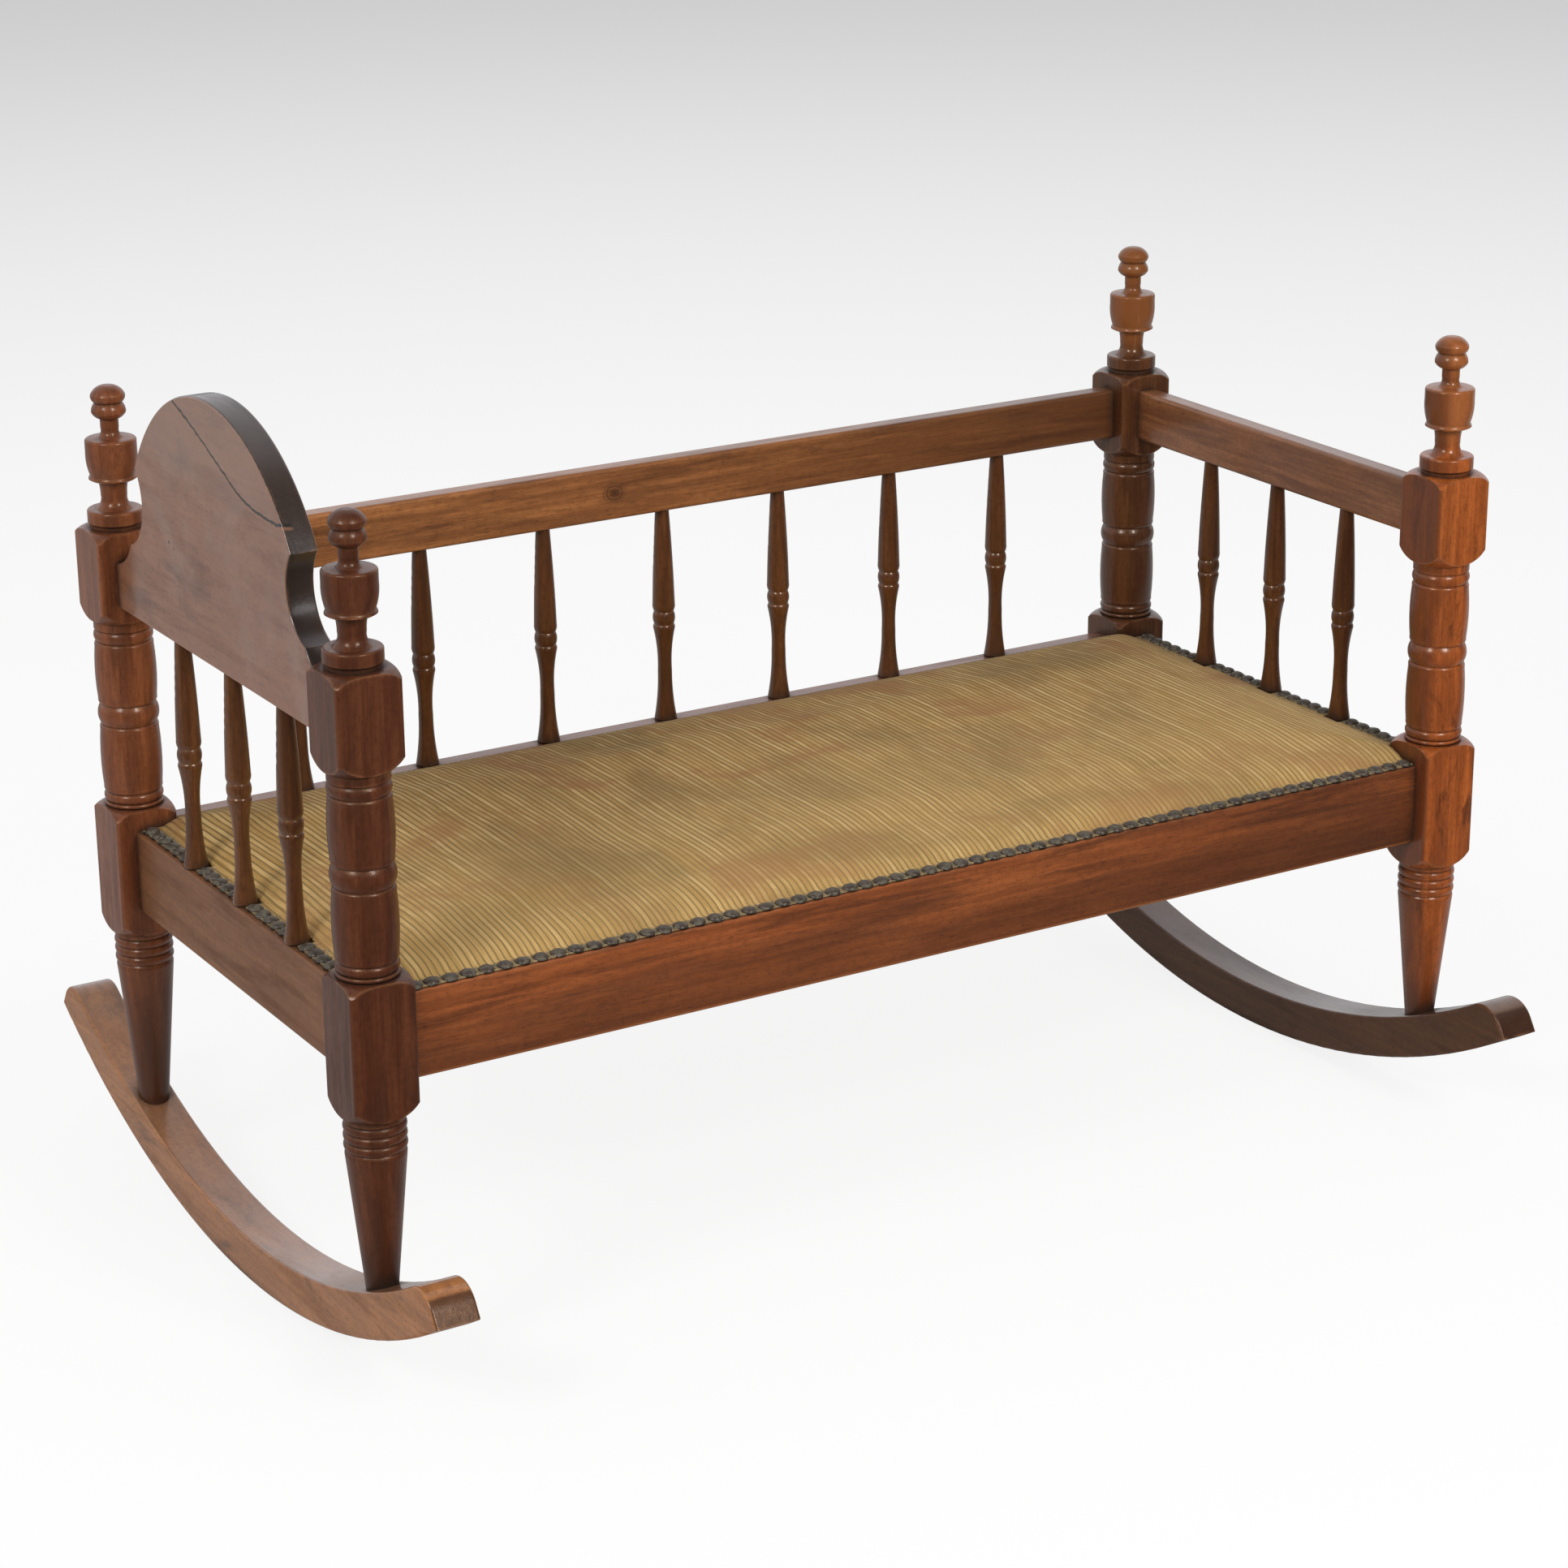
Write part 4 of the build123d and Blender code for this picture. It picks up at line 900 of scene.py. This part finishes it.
def nail_places(row):
    """The top of every domed nail of a row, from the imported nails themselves."""
    mesh = frame["nodes"][row].data
    tops = {}
    level = max(vert.co.z for vert in mesh.vertices)
    for vert in mesh.vertices:
        if vert.co.z > level - 0.0001:
            tops[(round(vert.co.x, 3), round(vert.co.y, 3))] = vert.co.copy()
    places = []
    for top in sorted(tops.values(), key=lambda co: (co.x, co.y)):
        if all((top - other).length > 0.006 for other in places):
            places.append(top)
    return places


class CRADLE_OT_make_seat(Operator):
    """Make the padded seat, swell it, and pull it in at its nails"""
    bl_idname = "cradle.make_seat"
    bl_label = "Make the seat pad"

    def execute(self, context):
        seat = context.scene.cradle_seat
        plan = SeatPlan(seat)
        sheet = seat_sheet(plan, seat)
        upper = plan.base + seat.cloth / 2
        raise_crown([vert for vert in sheet.verts if vert.co.z > upper], plan, seat, 1)
        pad = as_object("seat_pad", sheet, ribbed_fabric())
        swell_pad(pad, plan, seat)
        bm = bmesh.new()
        bm.from_mesh(pad.data)
        raise_crown([vert for vert in bm.verts if vert.co.z > upper], plan, seat, -1)
        top = [edge for edge in bm.edges if all(vert.co.z > upper for vert in edge.verts)]
        bmesh.ops.subdivide_edges(bm, edges=top, cuts=seat.cuts, use_grid_fill=True)
        raised = [vert for vert in bm.verts
                  if vert.co.z > upper and plan.inside(vert.co.x, vert.co.y) > 0.001]
        for _ in range(4):
            bmesh.ops.smooth_vert(bm, verts=raised, factor=0.5, use_axis_z=True)
        raise_crown([vert for vert in bm.verts if vert.co.z > upper], plan, seat, 1)
        pull_in(raised, plan, seat)
        bm.to_mesh(pad.data)
        bm.free()
        for face in pad.data.polygons:
            face.use_smooth = True
        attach(pad, "root")
        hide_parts("seat_cover", "seat_wadding")
        return {"FINISHED"}


def nail_metal():
    """Dark dull enamel with a bloom, and painted shade with dirt round each nail's rim."""
    finish = bpy.context.scene.cradle_finish
    material, n, shader = new_material("aged_nail")
    place = n.place()
    bloom = n.span(n.noise(place, 260.0, 4.0, 0.65), 0.42, 0.66)
    edges = n.group(edge_group(), {"Vector": place, "Reach": 0.004})
    body = n.mix(bloom, finish.nail, finish.patina)
    # Painted shade with dirt where each nail meets the fabric and threads.
    n.feed(shader.inputs["Base Color"], n.over(body, finish.grime_and_shade, edges["Groove Dirt And Shade"], 0.6))
    n.feed(shader.inputs["Roughness"], n.plus(0.38, n.times(bloom, 0.30)))
    shader.inputs["Metallic"].default_value = 0.30
    pits = n.noise(place, 420.0, 3.0)
    bump = n.add("ShaderNodeBump", {"Strength": 0.5, "Distance": 0.0004, "Height": pits})
    n.feed(shader.inputs["Normal"], bump.outputs[0])
    return material


def aged_nail(bm, draw, seat, spot, top):
    """One domed nail with its rim, a little off true, whose dome reaches up to the height top."""
    dome = bmesh.ops.create_uvsphere(bm, u_segments=14, v_segments=8, radius=1.0)["verts"]
    bmesh.ops.delete(bm, geom=[vert for vert in dome if vert.co.z < -0.1], context="VERTS")
    dome = [vert for vert in dome if vert.is_valid]
    rim = [vert for vert in dome if vert.co.z < 0.1]
    for vert in dome:
        vert.co.z = max(vert.co.z, 0.0)
    size = seat.nail_radius * draw.uniform(0.97, 1.0)
    turn = Matrix.Rotation(draw.uniform(-seat.nail_tilt, seat.nail_tilt), 4, "X")
    turn = turn @ Matrix.Rotation(draw.uniform(-seat.nail_tilt, seat.nail_tilt), 4, "Y")
    bmesh.ops.scale(bm, vec=(size, size, seat.nail_height * draw.uniform(0.9, 1.05)), verts=dome)
    skirt = [edge for edge in bm.edges if edge.is_boundary and all(vert in rim for vert in edge.verts)]
    grown = bmesh.ops.extrude_edge_only(bm, edges=skirt)["geom"]
    foot = [item for item in grown if isinstance(item, bmesh.types.BMVert)]
    bmesh.ops.translate(bm, vec=(0, 0, -0.0005), verts=foot)
    lower = [edge for edge in bm.edges if edge.is_boundary and all(vert in foot for vert in edge.verts)]
    bmesh.ops.contextual_create(bm, geom=lower)
    bmesh.ops.transform(bm, matrix=turn, verts=dome + foot)
    shift = Vector((draw.uniform(-0.0003, 0.0003), draw.uniform(-0.0003, 0.0003),
                    top - spot.z + 0.0001 - seat.nail_height))
    bmesh.ops.translate(bm, vec=spot + shift, verts=dome + foot)


class CRADLE_OT_make_nails(Operator):
    """Make the rows of domed nails, each a little off true"""
    bl_idname = "cradle.make_nails"
    bl_label = "Make the domed nails"

    def execute(self, context):
        material = nail_metal()
        for row in NAIL_ROWS:
            draw = random.Random(row)
            _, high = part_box(row)
            bm = bmesh.new()
            for spot in nail_places(row):
                aged_nail(bm, draw, context.scene.cradle_seat, spot, high.z)
            bmesh.ops.recalc_face_normals(bm, faces=bm.faces)
            nails = as_object(f"{row}_aged", bm, material)
            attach(nails, "root")
            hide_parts(row)
        return {"FINISHED"}


def frayed_cotton():
    """Pale dirty cotton for the loose threads."""
    finish = bpy.context.scene.cradle_finish
    material, n, shader = new_material("frayed_thread")
    shade = n.span(n.noise(n.place(), 700.0, 3.0), 0.35, 0.65)
    n.feed(shader.inputs["Base Color"], n.mix(shade, finish.fray, finish.patina))
    shader.inputs["Roughness"].default_value = 0.95
    return material


def loose_thread(bm, draw, root, lean, long, thick):
    """One short bent thread: a three-sided tapering tube of four rings."""
    side = lean.cross(Vector((0, 0, 1))).normalized()
    lift = lean.cross(side).normalized()
    droop = draw.uniform(0.2, 1.0)
    rings = []
    for step in range(4):
        share = step / 3
        spot = root + lean * long * share
        spot.z += long * 0.35 * share * (1 - droop * share)
        reach = thick * (1 - 0.6 * share)
        rings.append([bm.verts.new(spot + (side * cos(a) + lift * sin(a)) * reach)
                      for a in (0.0, 2 * pi / 3, 4 * pi / 3)])
    for first, second in zip(rings, rings[1:]):
        for i in range(3):
            j = (i + 1) % 3
            bm.faces.new((first[i], first[j], second[j], second[i]))
    bm.faces.new(rings[0][::-1])
    bm.faces.new(rings[-1])


class CRADLE_OT_make_fringe(Operator):
    """Make the frayed threads that stand out between and around the nails"""
    bl_idname = "cradle.make_fringe"
    bl_label = "Make the frayed edge"

    def execute(self, context):
        seat = context.scene.cradle_seat
        level = SeatPlan(seat).base + seat.cloth + 0.0001
        draw = random.Random("fringe")
        bm = bmesh.new()
        for row in NAIL_ROWS:
            for nail in nail_places(row):
                outward = Vector((1 if nail.x > 0 else -1, 0, 0))
                if row.endswith("front"):
                    outward = Vector((0, -1, 0))
                along = Vector((-outward.y, outward.x, 0))
                for _ in range(seat.threads):
                    sideways = draw.uniform(-0.0066, 0.0066)
                    inward = draw.uniform(-0.0070, 0.0030)
                    root = Vector((nail.x, nail.y, level)) + along * sideways + outward * inward
                    turned = draw.uniform(-1.0, 1.0)
                    lean = (outward * cos(turned) + along * sin(turned)).normalized()
                    if draw.random() < 0.35:
                        lean = -lean
                    long = draw.uniform(0.0018, 0.0048)
                    loose_thread(bm, draw, root, lean, long, draw.uniform(0.00020, 0.00036))
        bmesh.ops.recalc_face_normals(bm, faces=bm.faces)
        fringe = as_object("seat_fringe", bm, frayed_cotton())
        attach(fringe, "root")
        return {"FINISHED"}


def pale_floor():
    """A floor that the camera sees white near the bench and grey far off.

    Polish mirrors it dim before the bench and brighter behind, and it keeps the bench's shadow.
    """
    material = bpy.data.materials.new("pale_floor")
    material.use_nodes = True
    material.node_tree.nodes.clear()
    n = Tree(material.node_tree)
    parts = n.split(n.place())
    far = n.span(n.length(parts[0], parts[1]), 1.0, 7.5)
    shade = n.mix(far, (1.0, 1.0, 1.0), (0.60, 0.60, 0.60))
    diffuse = n.add("ShaderNodeBsdfDiffuse", {"Color": (0.80, 0.80, 0.80)})
    path = n.add("ShaderNodeLightPath").outputs
    behind = n.span(parts[1], -0.50, -0.20, 0.04, 0.45)
    strength = n.math("MAXIMUM", path["Is Camera Ray"], behind)
    glow = n.add("ShaderNodeEmission", {"Color": shade, "Strength": strength})
    mirrored = n.math("MAXIMUM", path["Is Glossy Ray"], path["Is Transmission Ray"])
    seen = n.math("MAXIMUM", mirrored, n.times(path["Is Camera Ray"], 0.86))
    both = n.add("ShaderNodeMixShader", {0: seen, 1: diffuse.outputs[0], 2: glow.outputs[0]})
    n.add("ShaderNodeOutputMaterial", {"Surface": both.outputs[0]})
    return material


def studio_world(stage):
    """Even light from all round, a grey backdrop, and a bright back for the polish to mirror."""
    world = bpy.data.worlds.new("studio")
    world.use_nodes = True
    world.node_tree.nodes.clear()
    n = Tree(world.node_tree)
    path = n.add("ShaderNodeLightPath").outputs
    direction = n.split(n.add("ShaderNodeTexCoord").outputs["Generated"])
    brighter = n.span(direction[1], -0.15, 0.30, 0.10, 0.90)
    even = n.add("ShaderNodeBackground", {"Color": (1, 1, 1), "Strength": stage.sky})
    behind = n.add("ShaderNodeBackground", {"Color": (0.92, 0.92, 0.93), "Strength": 0.75})
    mirrored = n.add("ShaderNodeBackground", {"Color": (0.96, 0.96, 1.0), "Strength": brighter})
    both = n.add("ShaderNodeMixShader", {0: path["Is Glossy Ray"], 1: even.outputs[0],
                                         2: mirrored.outputs[0]})
    both = n.add("ShaderNodeMixShader", {0: path["Is Camera Ray"], 1: both.outputs[0],
                                         2: behind.outputs[0]})
    n.add("ShaderNodeOutputWorld", {"Surface": both.outputs[0]})
    return world


def photo_camera(stage):
    """The camera, at the photograph's angle."""
    yaw, pitch, roll = stage.yaw, stage.pitch, stage.roll
    ahead = Vector((sin(yaw) * cos(pitch), cos(yaw) * cos(pitch), -sin(pitch)))
    right = Vector((cos(yaw), -sin(yaw), 0))
    up = right.cross(ahead)
    right, up = right * cos(roll) + up * sin(roll), up * cos(roll) - right * sin(roll)
    data = bpy.data.cameras.new("photo_view")
    data.sensor_width = 36.0
    data.lens = stage.lens
    camera = bpy.data.objects.new("photo_view", data)
    turn = Matrix((right, up, -ahead)).transposed().to_4x4()
    camera.matrix_world = Matrix.Translation(stage.place) @ turn
    return camera


def softbox(name, stage, aside, power):
    """A square soft light in front of the bench, turned to its middle."""
    lamp = bpy.data.lights.new(name, "AREA")
    lamp.shape = "RECTANGLE"
    lamp.size = stage.light_size
    lamp.size_y = stage.light_size
    lamp.energy = power
    target = Vector((0, 0, 0.3))
    right = Vector((cos(stage.yaw), -sin(stage.yaw), 0))
    nearer = Vector((-sin(stage.yaw), -cos(stage.yaw), 0))
    spot = target + nearer * stage.light_near + right * aside + Vector((0, 0, stage.light_up))
    holder = bpy.data.objects.new(name, lamp)
    turn = (target - spot).to_track_quat("-Z", "Y").to_matrix().to_4x4()
    holder.matrix_world = Matrix.Translation(spot) @ turn
    return holder


class CRADLE_OT_set_stage(Operator):
    """Set up the pale floor, the soft lights and the camera"""
    bl_idname = "cradle.set_stage"
    bl_label = "Set the stage"

    def execute(self, context):
        scene = context.scene
        stage = scene.cradle_stage
        bm = bmesh.new()
        bmesh.ops.create_grid(bm, x_segments=2, y_segments=2, size=60.0)
        as_object("floor", bm, pale_floor(), smooth=False)
        scene.world = studio_world(stage)
        scene.camera = photo_camera(stage)
        scene.collection.objects.link(scene.camera)
        lights = (softbox("right_softbox", stage, stage.light_aside, stage.key),
                  softbox("left_softbox", stage, -stage.light_aside, stage.fill))
        for light in lights:
            scene.collection.objects.link(light)
        scene.view_settings.view_transform = "Standard"
        return {"FINISHED"}


OPERATORS = (
    CRADLE_OT_varnish_posts,
    CRADLE_OT_varnish_rockers,
    CRADLE_OT_varnish_rails,
    CRADLE_OT_varnish_headboard,
    CRADLE_OT_varnish_spindles,
    CRADLE_OT_finish_hidden,
    CRADLE_OT_make_seat,
    CRADLE_OT_make_nails,
    CRADLE_OT_make_fringe,
    CRADLE_OT_set_stage,
)


class CRADLE_PT_panel(Panel):
    """Lists the steps that dress the bench"""
    bl_idname = "CRADLE_PT_panel"
    bl_label = "Rocking cradle bench"
    bl_space_type = "VIEW_3D"
    bl_region_type = "UI"
    bl_category = "Cradle"

    def draw(self, context):
        for operator in OPERATORS:
            self.layout.operator(operator.bl_idname)


CLASSES = (CradleFinish, CradleSeat, CradleStage) + OPERATORS + (CRADLE_PT_panel,)


def register():
    """Registers the classes and their settings."""
    for item in CLASSES:
        bpy.utils.register_class(item)
    bpy.types.Scene.cradle_finish = PointerProperty(type=CradleFinish)
    bpy.types.Scene.cradle_seat = PointerProperty(type=CradleSeat)
    bpy.types.Scene.cradle_stage = PointerProperty(type=CradleStage)


def unregister():
    """Removes the classes and their settings."""
    del bpy.types.Scene.cradle_stage
    del bpy.types.Scene.cradle_seat
    del bpy.types.Scene.cradle_finish
    for item in reversed(CLASSES):
        bpy.utils.unregister_class(item)


def main():
    """Dresses the bench."""
    register()
    for operator in OPERATORS:
        group, step = operator.bl_idname.split(".")
        getattr(getattr(bpy.ops, group), step)()
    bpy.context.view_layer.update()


if __name__ == "__main__":
    main()
